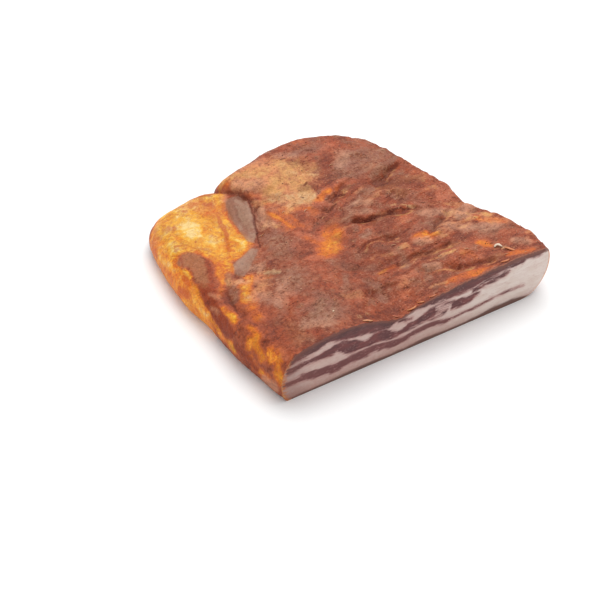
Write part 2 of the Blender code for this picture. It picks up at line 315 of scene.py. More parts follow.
def slabPoints(u, v, w):  # carries points of a cube from -1 to 1 to the slab, in millimetres
    angle = w * math.pi / 2
    widest = bySide(slab["widestAt"], u, v)
    level = widest + np.where(w > 0, 1 - widest, widest) * np.sin(angle)
    roll = np.where(w > 0, bySide(slab["topRoll"], u, v), bySide(slab["underRoll"], u, v))
    inset = roll * (1 - np.cos(angle))
    uIn = u * (1 - inset / halfAlong)
    vIn = v - (v + 1) / 2 * inset / halfDeep

    turn = np.arctan2(vIn, uIn)
    turn = np.where(turn < frontRightTurn, turn + math.tau, turn)
    ring = np.maximum(np.abs(uIn), np.abs(vIn))
    square = 1 / np.maximum(np.abs(np.cos(turn)), np.abs(np.sin(turn)))
    outer = np.maximum(np.abs(u), np.abs(v)) ** slab["outlineReach"]
    radius = np.where(turn > frontLeftTurn, square, square + (footprintRadius()(turn) - square) * outer)
    x = centre[0] + halfAlong * ring * radius * np.cos(turn)
    y = centre[1] + halfDeep * ring * radius * np.sin(turn)
    onCut = v < nearEdge
    y = np.where(onCut, 0.0, y)

    height, sink, crest, lip = heightAt(x, y)
    z = level * height
    flankFrom = slab["flankFrom"]
    flank = np.cos(angle) * smoothStep(*flankFrom["ring"], ring) * smoothStep(*flankFrom["cut"], y)
    wave = sum(rise * noiseAt(x, y, z, size, seed) for rise, size, seed in slab["flankWaves"])
    x = x + wave * flank * np.cos(turn)
    y = y + wave * flank * np.sin(turn)
    z = np.where(w < nearEdge, 0.0, z)
    drop = (1 - level) * height  # the flanks unroll outwards, so that paint runs over the edge
    return {
        "x": x, "y": y, "z": z, "onCut": onCut, "sink": sink, "crest": crest, "lip": lip, "drop": drop,
        "u": x + drop * np.cos(turn), "v": y + drop * np.sin(turn),
    }


def slabGrid():  # cube positions, faces, materials (0 rub, 1 cut, 2 rind) and the border where shading breaks
    along, deep, rows = slab["cellsAlong"], slab["cellsDeep"], slab["rowsUp"]
    i, j = np.meshgrid(np.arange(along + 1), np.arange(deep + 1))
    top = np.stack([i.ravel() / along * 2 - 1, j.ravel() / deep * 2 - 1, np.ones(i.size)], 1)
    ring = [(a, 0) for a in range(along)] + [(along, b) for b in range(deep)]
    ring += [(a, deep) for a in range(along, 0, -1)] + [(0, b) for b in range(deep, 0, -1)]
    ring = np.array(ring)
    around = len(ring)
    t = np.linspace(-1, 1, rows + 1)[:-1]
    levels = 0.5 * t + np.arcsin(t) / math.pi  # rows lie closer where the side turns in
    wallU = np.tile(ring[:, 0] / along * 2 - 1, rows)
    wallV = np.tile(ring[:, 1] / deep * 2 - 1, rows)
    cube = np.concatenate([top, np.stack([wallU, wallV, np.repeat(levels, around)], 1)])

    corner = (np.arange(deep)[:, None] * (along + 1) + np.arange(along)[None]).ravel()
    topFaces = np.stack([corner, corner + 1, corner + along + 2, corner + along + 1], 1)
    lines = len(top) + np.arange(rows * around).reshape(rows, around)
    lines = np.vstack([lines, ring[:, 1] * (along + 1) + ring[:, 0]])
    onward = np.roll(lines, -1, axis=1)
    wallFaces = np.stack([lines[:-1], onward[:-1], onward[1:], lines[1:]], 2).reshape(-1, 4)
    faces = topFaces.tolist() + wallFaces.tolist() + [lines[0][::-1].tolist()]
    wallSlots = np.tile((np.arange(around) < along).astype(int), rows)
    slots = np.concatenate([np.zeros(len(topFaces), int), wallSlots, [2]])
    border = np.zeros(len(cube), bool)
    for edge in (lines[0], lines[:, 0], lines[:, along], lines[-1, : along + 1]):
        border[edge] = True
    return cube, faces, slots, border


# Where each tone of the rub, each painted light and each painted shade lies, seen from above with the flanks
# unrolled outwards.
# An area is softness, strength and its outline, and a stroke is half width, strength and its line.
paint = {
    # On the left flank, at negative x, the gold strokes near (-19, 108) and (-8, 162) and the pale strokes
    # near (-13, 114) and (-20, 109) are laid stronger as painted light.
    "gold": {"areas": [
        (3.5, 1, -6, 208, 8, 218, 24, 234, 44, 244, 62, 240, 71, 224, 75, 211, 70, 200, 65, 190, 62, 175,
         60, 160, 60, 148, 58, 138, 50, 132, 44, 129, 36, 128, 28, 131, 24, 142, 20, 152, 14, 160, 6, 164,
         -2, 158, -6, 176),
        (4, 0.68, -46, 205, -14, 214, 2, 218, 2, 180, 2, 158, -1, 136, -7, 118, -15, 105, -20, 92, -25, 84,
         -46, 84),
    ], "strokes": [
        (2.6, 0.55, 101, 86, 106, 93, 112, 101), (4, 1.05, -18, 118, -21, 108, -19, 98),
        (5, 1.1, -8, 168, -8, 156), (3, 0.92, -1, 147, -3, 136), (4, 0.9, 29, 131, 27, 121),
        (4, 0.8, 20, 86, 18, 80), (4, 0.72, 34, 103, 29, 97), (3, 0.75, 25, 98, 23, 93),
        (3.4, 0.85, -2, 18, -5, 12), (2.8, 0.62, -6, 41, -12, 38), (3.6, 0.6, 166, 66, 172, 63, 177, 60),
        (5.2, 0.84, 31, 143, 26.5, 133, 21.5, 122), (2.6, 0.6, 19, 117, 16, 111),
        (6, 1.08, 6, 176, 12, 182, 12, 196), (1.6, 0.66, 107, 105, 112, 109, 119, 108),
        (1.6, 0.6, 96, 90, 102, 97), (3.4, 0.8, -13, 120, -15, 110, -16, 102), (2.6, 0.8, -24, 76, -25, 68),
        (3.2, 0.8, -1, 79, -1, 71),
    ]},
    "pale": {"areas": [
        (6, 1, 14, 176, 18, 190, 28, 202, 40, 198, 43, 182, 34, 166, 20, 166),
    ], "strokes": [
        (6, 1.15, 24, 178, 28, 182), (5, 0.85, 30, 163, 34, 156, 36, 149), (3.5, 0.8, 3, 184, 5, 180, 4, 175),
        (4.5, 0.9, 50, 152, 53, 145, 50, 138), (5, 0.7, -5, 192, -8, 180, -12, 165),
        (6, 0.7, 24, 203, 34, 200, 42, 190), (2.6, 0.6, -12, 120, -14, 108), (4, 0.5, -8, 168, -8, 157),
        (4, 0.85, -9, 187, -9, 176), (3.6, 0.55, -21, 114, -20, 104),
    ]},
    "veins": {"strokes": [
        (3.4, 0.8, 57, 214, 59, 200, 57, 188, 53, 178), (3, 0.75, 60, 206, 54, 196, 50, 184),
        (2.6, 0.95, 53, 178, 50, 168, 48, 160, 43, 150, 40, 142),
        (1.4, 0.6, 40, 214, 30, 207, 20, 203, 14, 194),
        (6, 0.7, 14, 220, 8, 212, 4, 203, -4, 205), (4, 0.75, 0, 196, -5, 198), (3, 0.75, 17, 206, 12, 199),
        (2.4, 0.7, 22, 199, 17, 192), (2.4, 0.65, 30, 214, 24, 208, 20, 201),
        (1.6, 0.75, 8, 173.5, 16, 169.5, 19, 162, 26, 152), (2.4, 0.7, 62, 212, 58, 196, 60, 184),
        (2.2, 1, 22, 232, 36, 236, 49, 229.5, 60, 222.5, 70, 214), (2.4, 0.6, 50, 196, 46, 184, 50, 172),
        (1.2, 1, 23.5, 167.5, 24, 168.5), (1.6, 0.5, 42, 208, 48, 198, 44, 188), (3.4, 1, -6, 142, -8, 132),
        (2.4, 0.5, -8, 155, -10, 151), (4, 1.1, -18, 142, -20, 130), (2.4, 0.7, -12, 134, -14, 128),
        (1.1, 0.6, 24, 150, 33, 144, 40, 141), (3, 0.8, -8, 206, -10, 194), (3, 0.7, 0, 206, 5, 198),
    ]},
    "orange": {"areas": [
        (4, 0.95, 86, 86, 96, 82, 108, 86, 117, 94, 123, 106, 125, 118, 114, 120, 106, 114, 97, 105, 91, 96),
        (2.4, 1, 160, 63, 166, 71, 173, 69, 180, 64, 178, 57, 169, 55),
        (2.6, 0.8, 150, 11, 163, 12, 172, 12, 184, 9, 191, 3, 178, 2, 160, 4, 148, 6),
        (4, 0.45, 84, 130, 92, 128, 100, 136, 104, 150, 98, 166, 90, 170, 84, 158),
        (4, 0.8, 72, 222, 76, 228, 86, 224, 88, 214, 82, 208, 76, 212),
    ], "strokes": [
        (4, 1.1, 28, 140, 24, 128, 18, 117), (3, 0.5, 17, 114, 9, 103), (3.6, 1.05, 0, 88, -1, 80, -2, 68),
        (4, 0.8, 94, 115, 98, 106), (4, 0.6, 95, 136, 99, 129), (3, 0.6, 0, 108, 3, 101),
        (3, 0.7, -10, 97, -9, 90), (3.4, 1.15, -16, 102, -20, 87, -24, 75, -25, 64, -26, 50),
        (4.5, 0.85, 18, 71, 13, 62, 12, 55), (3.4, 1, 2, 53, 2, 47, 0, 40), (3.4, 0.9, -6, 43, -12, 39),
        (4, 0.95, -3, 40, -7, 30, -10, 20), (4, 0.95, 2, 22, -5, 14, -6, 9), (3, 0.9, -23, 22, -21, 10),
        (3.6, 0.95, 5, 14, -3, 5, -9, 1, -14, -10), (5, 0.8, 24, 98, 22, 86, 20, 74),
        (4, 0.6, 31, 100, 38, 98, 44, 92), (2.5, 0.9, 86, 162, 90, 148, 93, 132),
        (1.6, 0.7, 95, 158, 98, 146, 99, 136), (3, 0.6, 93, 172, 97, 160, 104, 151, 116, 144),
        (3, 0.55, 88, 190, 93, 180, 97, 172), (3, 0.9, 138, 151, 141, 154), (3, 0.7, 148, 154, 158, 157),
        (4, 0.85, 222, 59, 229, 53, 234, 47), (3.4, 0.85, 212, 8, 220, 6, 229, 3),
        (2, 0.8, 116, 46, 122, 47, 130, 48), (3, 0.65, 200, 33, 206, 27), (4, 0.45, 54, 9, 62, 12),
        (3, 0.7, 120, 150, 128, 148, 136, 153), (4, 0.5, 100, 124, 110, 132, 118, 138),
        (4, 0.7, -18, 30, -22, 16, -20, 4),
        (7, 0.6, 250, 70, 258, 40, 262, 10), (6, 0.5, 248, 130, 252, 100),
        (6, 0.5, 150, 262, 180, 258, 210, 240),
    ]},
    "warm": {"areas": [  # redder rub on the left side
        (8, 1, -50, -10, 10, -10, 20, 30, 26, 62, 22, 94, 10, 112, -4, 124, -50, 124),
    ], "strokes": [
        (4, 1, 21, 143, 17, 130, 9, 116, 3, 104),
    ]},
    "tan": {"areas": [
        (12, 1, 82, 224, 96, 230, 112, 222, 128, 210, 142, 200, 147, 182, 141, 170, 130, 160, 118, 150,
         104, 148, 94, 158, 90, 176, 92, 190, 84, 206),
        (7, 0.75, 22, 80, 32, 100, 46, 110, 50, 102, 42, 84, 32, 74),
        (8, 0.8, 38, 222, 58, 224, 66, 204, 62, 188, 54, 184, 46, 192, 42, 206),
    ], "strokes": [
        (6, 1, 82, 221, 90, 216, 98, 211, 108, 205), (5, 0.95, 98, 200, 103, 190, 104, 183),
        (6, 0.6, 226, 58, 236, 46), (3, 0.5, 186, 66, 198, 68, 206, 72, 216, 78, 222, 85),
        (2.4, 0.85, 203, 84, 212, 77, 222, 69, 234, 58), (2, 0.7, 190, 66, 200, 65, 210, 63.5, 220, 62),
        (1.6, 0.9, 158, 36, 168, 35, 178, 34), (1.6, 0.7, 138, 12, 152, 9), (3.4, 0.6, 160, 57, 168, 56),
        (4, 0.6, 79, 150, 83, 143), (3.6, 1, 20, 109, 24, 104, 28, 99), (6, 1.1, 86, 206, 94, 199),
        (3, 0.5, 200, 96, 212, 92, 226, 84),
    ]},
    "cream": {"areas": [
        (5, 0.9, 98, 176, 104, 177, 112, 171, 121, 164, 129, 157, 128, 150, 120, 147, 110, 152, 101, 157,
         96, 165),
    ], "strokes": [
        (4, 0.6, 97, 208, 100, 196), (3.2, 0.85, 126, 190, 135, 182, 142, 175), (2, 0.6, 147, 70, 152, 64),
        (1.4, 0.95, 172, 109.5, 178, 108.5, 184, 104.5, 188, 101), (3.5, 0.55, 125, 200, 136, 207),
        (2.6, 0.5, 72, 8, 82, 11), (4, 0.6, 42, 103, 47, 99, 52, 93), (2, 0.8, 20, 108, 22, 106),
        (2.6, 0.6, 212, 18, 219, 14), (3, 0.8, 57, 209, 60, 204), (3, 1, 123, 157, 127, 156),
    ]},
    "red": {"areas": [
        (4, 0.7, 108, 222, 112, 206, 117, 196, 124, 200, 126, 214, 122, 232),
        (4, 0.8, 208, 88, 220, 92, 232, 104, 228, 116, 214, 112, 206, 100),
        (4, 0.5, 76, 42, 86, 46, 96, 40, 94, 28, 84, 22, 74, 26),
        (6, 0.5, 74, 88, 84, 74, 86, 62, 76, 58, 68, 74),
    ], "strokes": [
        (3.6, 0.9, 116, 150, 124, 145, 132, 141), (3.6, 0.9, 150, 157, 158, 158, 166, 153),
        (4, 0.8, 92, 122, 98, 114, 103, 108), (4, 0.7, 80, 92, 90, 86), (5, 0.5, 84, 100, 82, 112),
        (4, 0.5, 226, 34, 233, 40), (3.5, 0.4, 234, 10, 238, 20), (4.5, 0.7, 124, 28, 136, 31),
        (5, 0.6, 108, 8, 118, 16), (3, 0.9, 2, 4, 7, 14), (4, 0.8, -16, 136, -18, 126),
        (2.5, 0.9, 126, 33, 133, 28), (5, 0.5, 44, 54, 52, 44), (5, 0.5, 160, 192, 166, 200, 176, 204),
        (6, 0.4, 190, 92, 206, 80), (5, 0.4, 148, 96, 168, 90, 186, 94), (4, 0.6, 226, 140, 222, 150),
        (4, 0.5, 36, 66, 44, 60), (4, 0.5, 10, 44, 16, 52),
    ]},
    "grey": {"areas": [
        (6, 0.8, 148, 158, 158, 152, 172, 152, 186, 154, 200, 160, 216, 164, 218, 176, 206, 188, 186, 190,
         168, 186, 156, 176),
        (7, 0.85, 134, 212, 140, 204, 152, 202, 162, 198, 170, 202, 168, 212, 158, 218, 144, 220),
        (9, 0.85, 62, 144, 76, 146, 86, 132, 86, 114, 74, 96, 60, 98, 52, 110, 58, 126),
        (10, 0.85, 56, 96, 70, 94, 74, 80, 66, 60, 52, 50, 40, 58, 44, 76),
        (10, 0.95, 32, 26, 42, 8, 58, 6, 70, 18, 72, 34, 62, 54, 40, 40),
    ], "strokes": [
        (5, 0.6, 22, 70, 30, 62, 32, 50, 20, 42), (4, 0.9, 182, 152, 196, 159, 214, 165),
        (5, 0.8, 132, 116, 140, 124, 150, 130, 162, 134, 172, 139), (3.5, 0.9, 131, 90, 137, 93),
        (3, 0.7, 130, 100, 134, 106), (5, 0.8, 134, 72, 140, 64, 142, 54, 138, 42),
        (4, 0.8, 150, 34, 147, 26, 142, 18), (5, 0.8, 104, 44, 107, 34, 104, 24),
        (5, 0.75, 94, 74, 104, 63, 116, 55), (3.5, 0.75, 92, 58, 88, 50, 80, 38),
        (3.5, 0.8, 176, 124, 182, 116), (5, 0.4, 186, 84, 196, 90), (4.5, 0.8, 20, 104, 16, 97, 12, 90),
    ]},
    "brown": {"areas": [
        (3, 1, 9, 164, 6, 157, 3, 151, 6, 143, 0, 128, -8, 113, -14, 100, -17, 88, -19, 76, -20, 64, -18, 56,
         -12, 58, -9, 68, -6, 80, -3, 92, 4, 103, 8.5, 115, 16, 130, 19, 142, 18.5, 152, 12, 163.5),
        (6, 0.5, 6, 4, 30, 3, 34, 20, 30, 42, 14, 44, 8, 24),
        (5, 0.4, 14, 96, 24, 90, 30, 76, 24, 60, 14, 66, 10, 80),
    ], "strokes": [
        (4, 0.7, -22, 50, -20, 34, -22, 18), (3.4, 0.8, 70, 192, 67, 184, 63, 172),
        (4, 0.55, 95, 178, 102, 171), (2.5, 0.8, 24, 118, 20, 112, 17, 104), (2.6, 0.6, 72, 198, 79, 197),
        (3, 0.7, 30, 108, 30, 114),
        (6, 0.6, 178, 134, 183, 124, 188, 118), (3, 0.6, 82, 150, 86, 168, 86, 180),
        (5, 0.3, 128, 50, 140, 44), (4.5, 0.5, 150, 46, 170, 44, 188, 42), (5, 0.5, 118, 120, 130, 118),
        (7, 0.6, 186, 132, 200, 136, 212, 130), (4.5, 0.5, 196, 10, 206, 12), (5, 0.6, 78, 36, 90, 34),
    ]},
    # painted shade in crevices and valleys under the folds, with darker stain in the deepest of them
    "dark": {"areas": [
        (7, 0.5, 10, 14, 26, 12, 32, 24, 26, 38, 12, 34),
    ], "strokes": [
        (1.1, 0.6, 78, 208, 81, 199, 84, 191), (1.2, 0.9, 84, 187, 81, 175, 73, 158, 67, 144, 61, 130),
        (5, 0.5, 186, 140, 195, 134, 204, 128), (4, 0.45, 126, 66, 134, 62),
        (1.5, 1, 126, 132, 131, 134, 135, 136), (1.6, 0.95, 144, 147, 147, 146, 149, 143),
        (1.4, 0.9, 127, 170, 131, 171.5), (1.3, 0.8, 133, 146, 137, 147), (0.8, 0.8, 105, 165, 106, 164),
        (0.8, 0.8, 112, 163, 113, 162), (0.8, 0.8, 118, 160, 119, 158), (0.8, 0.8, 109, 157, 111, 156),
        (1.7, 1.05, 138, 111, 147, 107.5, 157, 105, 168, 104),
        (1.4, 0.95, 166, 106, 176, 103.5, 184, 101), (1.4, 0.85, 117, 76, 124, 81, 132, 83, 140, 80),
        (1.4, 0.8, 160, 77, 168, 79), (1.4, 0.7, 150, 49, 158, 48.5, 166, 46), (1.3, 0.6, 178, 46, 188, 47.5),
        (1.2, 0.6, 116, 51, 124, 49), (1.4, 0.75, 172, 19, 183, 16, 192, 12.5),
        (1.6, 0.5, 184, 145, 195, 149), (1.8, 0.6, 198, 154, 212, 158), (2.2, 0.7, 154, 209, 158, 206),
        (1.5, 0.8, 9, 92, 8, 84, 5, 72),
        (1.5, 0.7, 94, 36, 96, 28), (1.4, 0.6, 20, 114, 18, 108),
    ]},
    "dusted": {"strokes": [  # painted light, and paler rub
        (6, 1, 188, 92, 199, 85, 207, 82), (6, 0.9, 194, 62, 206, 56, 218, 50, 227, 44),
        (6, 1.3, 213, 71, 219, 74, 226, 78), (4, 1.2, 162, 60, 168, 56), (5, 1, 226, 20, 232, 14),
        (5, 1, 40, 113, 46, 107), (6, 0.9, 86, 207, 92, 199, 99, 192), (4, 0.8, 72, 206, 66, 190),
        (7, 0.8, 167, 176, 175, 186), (4, 0.8, 141, 121, 153, 114), (7, 0.8, 34, 60, 43, 70, 50, 80),
        (6, 0.8, 22, 80, 30, 71), (7, 0.8, 34, 23, 46, 14), (6, 0.7, 132, 216, 141, 208),
        (5, 0.9, 81, 147, 74, 157), (4, 0.7, -10, 96, -8, 90), (3, 0.7, 0, 107, 3, 100),
        (3.6, 1.4, -23, 5, -23, -10), (4, 0.8, 25, 103, 29, 100), (3.6, 1.2, 85, 168, 80, 159),
        (4, 1.2, 152, 30, 158, 28), (4, 1.1, 150, 127, 157, 123), (3, 1, -1, 206, 1, 200),
    ]},
    "damp": {"strokes": [  # painted shade in the valleys, and darker rub
        (8, 1.3, 102, 70, 113, 58, 123, 52, 129, 64, 120, 72, 133, 68), (7, 1.2, 148, 93, 160, 96),
        (8, 1.4, 184, 142, 194, 134, 205, 126), (5, 1.3, 183, 128, 189, 120), (6, 0.8, 118, 118, 127, 110),
        (6, 1, 122, 140, 130, 133), (7, 0.9, 150, 178, 163, 192), (5, 0.9, 103, 84, 108, 78),
        (6, 0.8, 161, 151, 171, 146), (6, 0.8, 13, 47, 19, 41), (5, 0.7, 6, 55, 10, 50),
        (7, 0.7, 66, 111, 72, 106, 79, 99), (5, 0.7, 179, 119, 185, 111), (5, 0.8, 143, 15, 151, 12),
        (5, 0.8, 96, 177, 103, 171), (5, 0.95, 112, 102, 117, 95), (5, 0.6, 141, 186, 145, 180),
        (4, 1.3, 125, 168, 131, 166), (3.4, 1.2, 204, 2, 215, 0), (4, 1.3, 154, 153, 160, 149),
        (5, 1.1, 135, 199, 142, 194), (3.6, 1.3, 10, 101, 8, 93), (4, 1.3, 150, 18, 158, 16),
        (5, 1.1, 47, 94, 51, 89),
    ]},
    "grit": {"areas": [  # where grains of spice lie thickest
        (5, 1, 62, 112, 84, 108, 94, 126, 90, 150, 74, 152, 62, 138),
        (12, 0.6, 100, 0, 246, 0, 240, 60, 232, 110, 214, 190, 170, 232, 120, 230, 96, 170),
    ], "strokes": [
        (22, 0.5, 40, 60, 60, 40, 80, 20), (12, 0.6, 30, 100, 46, 84),
    ]},
}

# Layers on the cut, as distance along the cut and height. A band is the most it may count, its upper line
# and its lower line: a low count leaves it broken up by fat. 60 stands for anything above the top edge.
cut = {
    "lean": [
        (9, (-4, 60, 205, 60), (
            0, 32, 4, 32.6, 10, 34.4, 20, 35.3, 30, 37, 35, 38.5, 38, 40, 42, 39.2, 45, 38, 50, 36.5, 55, 35,
            60, 34.4, 70, 33.6, 75, 32.6, 80, 30.4, 85, 29, 92, 29, 96, 30.4, 100, 31.6, 104, 33, 108, 34.6,
            112, 37, 116, 36.4, 118, 35.4, 122, 34.2, 125, 34.6, 130, 35, 135, 34, 140, 34, 150, 33.2,
            160, 32, 170, 32.6, 175, 34.6, 180, 36, 190, 36.6, 200, 37, 205, 38)),
        (0.9, (101, 31.6, 105, 32.4, 108, 31, 114, 29.6), (101, 30, 105, 29.6, 108, 27.8, 114, 27.4)),
        (9, (2, 31, 6, 29.5, 10, 30.5, 20, 31.5, 30, 31.5, 35, 33, 40, 33, 45, 34.5, 50, 35.5, 55, 34,
             60, 32, 65, 29.5, 68, 27, 70, 25.8, 74, 25.5, 76, 27, 80, 29.5, 85, 29.5, 90, 29, 92, 27,
             95, 24.5, 100, 22, 105, 21.5, 108, 23, 110, 25, 115, 24.5, 120, 25.5, 125, 28, 130, 30, 136, 30),
         (2, 24.5, 10, 26, 20, 27, 30, 26.5, 40, 25.5, 46, 27.5, 50, 25, 55, 21, 60, 20, 80, 20, 85, 19,
          90, 17.5, 95, 16.5, 100, 16.5, 105, 17.5, 110, 18.5, 120, 19.5, 127, 20, 136, 20.5)),
        (-0.2, (130, 30.5, 138, 31, 145, 31, 150, 30.5, 154, 29.5),
         (130, 19.5, 138, 18.5, 143, 19, 147, 22, 149, 26, 154, 28)),
        (9, (151, 26, 154, 27.5, 160, 28, 165, 26.5, 170, 27, 175, 27.5, 178, 26),
         (151, 21, 160, 19.5, 165, 20, 170, 21, 175, 24, 178, 25.5)),
        (0.3, (171, 31.5, 176, 33, 180, 34.5, 190, 36, 200, 37, 206, 36),
         (171, 29.5, 176, 29, 182, 30, 190, 30.5, 198, 31, 203, 32, 206, 34)),
        (0.8, (205, 60, 221, 60), (205, 38.2, 209, 37.6, 212, 36.6, 216, 37.6, 219, 37, 221, 38.5)),
        (9, (221, 60, 240, 60), (221, 41, 225, 40, 230, 38, 235, 37, 238, 38, 240, 40.5)),
        (9, (-2, 18, 10, 18, 15, 19.5, 20, 19, 30, 18, 40, 17, 48, 16, 55, 17, 60, 18, 80, 18, 90, 16.5,
             95, 15.5, 100, 14, 105, 14, 110, 14.5, 120, 16, 130, 17, 135, 16.5, 140, 15, 145, 13.5, 152, 13),
         (-2, 13.8, 10, 13.5, 20, 12.5, 25, 11, 30, 10, 38, 9.5, 42, 7.5, 45, 8.5, 50, 9.5, 60, 10.5,
          70, 10.5, 80, 11.5, 90, 10, 95, 8.5, 100, 8.5, 110, 9.5, 120, 11.5, 130, 12, 140, 10.5, 143, 9,
          147, 10, 152, 11.8)),
        (0.25, (150, 13, 165, 13.3, 176, 13.4, 190, 15, 205, 15.3, 222, 14.6),
         (150, 11.6, 165, 12, 176, 12, 190, 13.6, 205, 14, 222, 13.6)),
    ],
    "rind": [
        (9, (-4, 1.2, 15, 1.8, 30, 1.6, 60, 2.8, 80, 3, 95, 2, 110, 2, 125, 3.6, 135, 2.8, 150, 2, 165, 2,
             180, 3, 190, 4.4, 210, 4.6, 219, 3, 228, 1.5), (-4, -9, 228, -9)),
    ],
    "mauveUnder": (0, 21, 60, 19, 95, 16, 110, 16.5, 136, 18.5, 150, 15, 240, 15),  # paler lean below this
    "pinkAlong": (200.0, 110.0, 0.7),  # pinker fat towards the left and the rind: from, to and most
    "pinkUp": (11.0, 2.0, 0.5),
}


def paintedAt(x, y, layer):
    value = np.zeros(x.shape)
    for softness, strength, *outline in layer.get("areas", []):
        inside = insideDistance(x, y, pairs(outline)) / softness / 2
        value = np.maximum(value, strength * np.clip(0.5 + inside, 0, 1))
    for halfWidth, strength, *line in layer["strokes"]:
        away = distanceToLine(x, y, pairs(line))[0] / halfWidth
        value = np.maximum(value, strength * (1 - smoothStep(0.2, 1.8, away)))
    return value


def bandsAt(x, z, onCut, bands):
    value = np.full(x.shape, -farthest)
    for most, upper, lower in bands:
        inside = insideDistance(x[onCut], z[onCut], pairs(upper) + pairs(lower)[::-1])
        value[onCut] = np.maximum(value[onCut], np.minimum(inside, most))
    return value


def buildSlab():
    cube, faces, slots, border = slabGrid()
    at = slabPoints(*cube.T)
    x, z, u, v, onCut = (at[name] for name in ("x", "z", "u", "v", "onCut"))
    driftedU = u + wander(u, v, slab["paintDrift"], 41)
    driftedV = v + wander(u, v, slab["paintDrift"], 43)
    painted = {name: paintedAt(driftedU, driftedV, layer) for name, layer in paint.items()}
    painted.update(skin=skinAt(u, v), fromCut=at["y"], sink=at["sink"], crest=at["crest"], lip=at["lip"])
    painted["underRub"] = at["drop"]
    start, end, gone = slab["muscleTo"]
    painted["muscle"] = smoothStep(*slab["fibresFrom"], u) * (1 - gone * smoothStep(start, end, v))
    bare = onCut | (at["drop"] > slab["gritTo"]["drop"]) | (at["sink"] > slab["gritTo"]["sink"])
    painted["grit"] = np.where(bare, 0.0, painted["grit"])
    painted["lean"] = bandsAt(x, z, onCut, cut["lean"])
    painted["rind"] = bandsAt(x, z, onCut, cut["rind"])
    painted["fromSide"] = (1 - np.abs(cube[:, 0])) * halfAlong
    painted["fromLeft"] = (1 + cube[:, 0]) * halfAlong
    under = np.interp(x, cut["mauveUnder"][::2], cut["mauveUnder"][1::2])
    painted["mauve"] = smoothStep(-1.5, 1.5, under - z)
    (left, right, mostAlong), (upper, lower, mostUp) = cut["pinkAlong"], cut["pinkUp"]
    painted["pink"] = smoothStep(left, right, x) * mostAlong + smoothStep(upper, lower, z) * mostUp
    y = at["y"] + np.where(onCut, slab["leanSinks"] * smoothStep(-0.6, 0.6, painted["lean"]), 0.0)

    mesh = bpy.data.meshes.new("slab_meat")
    points = np.stack([x - middle[0], y - middle[1], z], 1) * mm
    mesh.from_pydata(points.tolist(), [], faces)
    mesh.polygons.foreach_set("material_index", slots.astype(np.int32))
    mesh.shade_smooth()
    ends = np.zeros(len(mesh.edges) * 2, np.int32)
    mesh.edges.foreach_get("vertices", ends)
    sharp = mesh.attributes.new("sharp_edge", "BOOLEAN", "EDGE")
    sharp.data.foreach_set("value", border[ends].reshape(-1, 2).all(1))
    for name, value in painted.items():
        attribute = mesh.attributes.new(name, "FLOAT", "POINT")
        attribute.data.foreach_set("value", value.astype(np.float32))
    mesh.update()
    return newObject("slab_meat", mesh)


# Nodes written as sums

def mathOperator(operation, reflected=False):
    def apply(wire, other):
        return wire.math(operation, other, wire) if reflected else wire.math(operation, wire, other)
    return apply


class Wire:  # a socket of a node tree; + - * on it add Math nodes
    __add__, __radd__ = mathOperator("ADD"), mathOperator("ADD", True)
    __sub__, __rsub__ = mathOperator("SUBTRACT"), mathOperator("SUBTRACT", True)
    __mul__, __rmul__ = mathOperator("MULTIPLY"), mathOperator("MULTIPLY", True)
    most = mathOperator("MAXIMUM")

    def __init__(self, tree, socket=None):
        self.tree = tree
        self.socket = socket

    def node(self, kind, settings=None, values=None, out=0):  # settings go first, then values or links
        made = self.tree.nodes.new(kind)
        for name, setting in (settings or {}).items():
            if name == "stops":
                while len(made.color_ramp.elements) < len(setting):
                    made.color_ramp.elements.new(0.5)
                for element, (position, colour) in zip(made.color_ramp.elements, setting):
                    element.position = position
                    element.color = colour
            else:
                setattr(made, name, setting)
        for name, value in (values or {}).items():
            if isinstance(value, Wire):
                self.tree.links.new(value.socket, made.inputs[name])
            else:
                made.inputs[name].default_value = value
        return Wire(self.tree, made.outputs[out])

    def other(self, out):  # another output of the same node
        return Wire(self.tree, self.socket.node.outputs[out])

    def math(self, operation, *values):
        return self.node("ShaderNodeMath", {"operation": operation}, dict(enumerate(values)))

    def __abs__(self):
        return self.math("ABSOLUTE", self)

    def rise(self, low, high):  # 0 below low, 1 above high, smooth between
        return self.node("ShaderNodeMapRange", {"interpolation_type": "SMOOTHSTEP"},
                         {"Value": self, "From Min": low, "From Max": high})

    def mix(self, first, second, way="MIX"):  # this wire mixes two colours
        return self.node("ShaderNodeMix", {"data_type": "RGBA", "blend_type": way},
                         {0: self, 6: first, 7: second}, 2)

    def tint(self, base, colour):  # this wire lays colour over base by multiplying
        return self.mix(base, colour, "MULTIPLY")

    def scaled(self, share):  # this wire's colour made brighter or darker
        return self.node("ShaderNodeVectorMath", {"operation": "SCALE"}, {"Vector": self, "Scale": share})

    def place(self, size, seed, turn=0.0):  # object coordinates in steps of size, in millimetres
        sizes = size if isinstance(size, tuple) else (size, size, size)
        seen = self.node("ShaderNodeTexCoord", out="Object")
        return self.node("ShaderNodeMapping", {"vector_type": "TEXTURE"}, {
            "Vector": seen, "Location": (seed * 0.173, seed * 0.051, seed * 0.097),
            "Rotation": (0.0, 0.0, math.radians(turn)), "Scale": tuple(s * mm for s in sizes)})

    def cloud(self, size, seed, turn=0.0, detail=2.0, rough=0.5, warp=0.0):  # noise from 0 to 1
        return self.node("ShaderNodeTexNoise", None, {
            "Vector": self.place(size, seed, turn), "Scale": 1.0, "Detail": detail, "Roughness": rough,
            "Distortion": warp})

    def cells(self, size, seed):  # distance from the nearest of many scattered points
        return self.node("ShaderNodeTexVoronoi", {"feature": "F1"},
                         {"Vector": self.place(size, seed), "Scale": 1.0}, "Distance")

    def painted(self, name):
        return self.node("ShaderNodeAttribute", {"attribute_name": name}, out="Fac")


def tone(r, g, b, share=0.76):  # a colour from 0 to 255 as it looks under the scene's light
    def linear(c):
        c = c / 255
        return share * (c / 12.92 if c <= 0.04045 else ((c + 0.055) / 1.055) ** 2.4)
    return (linear(r), linear(g), linear(b), 1.0)


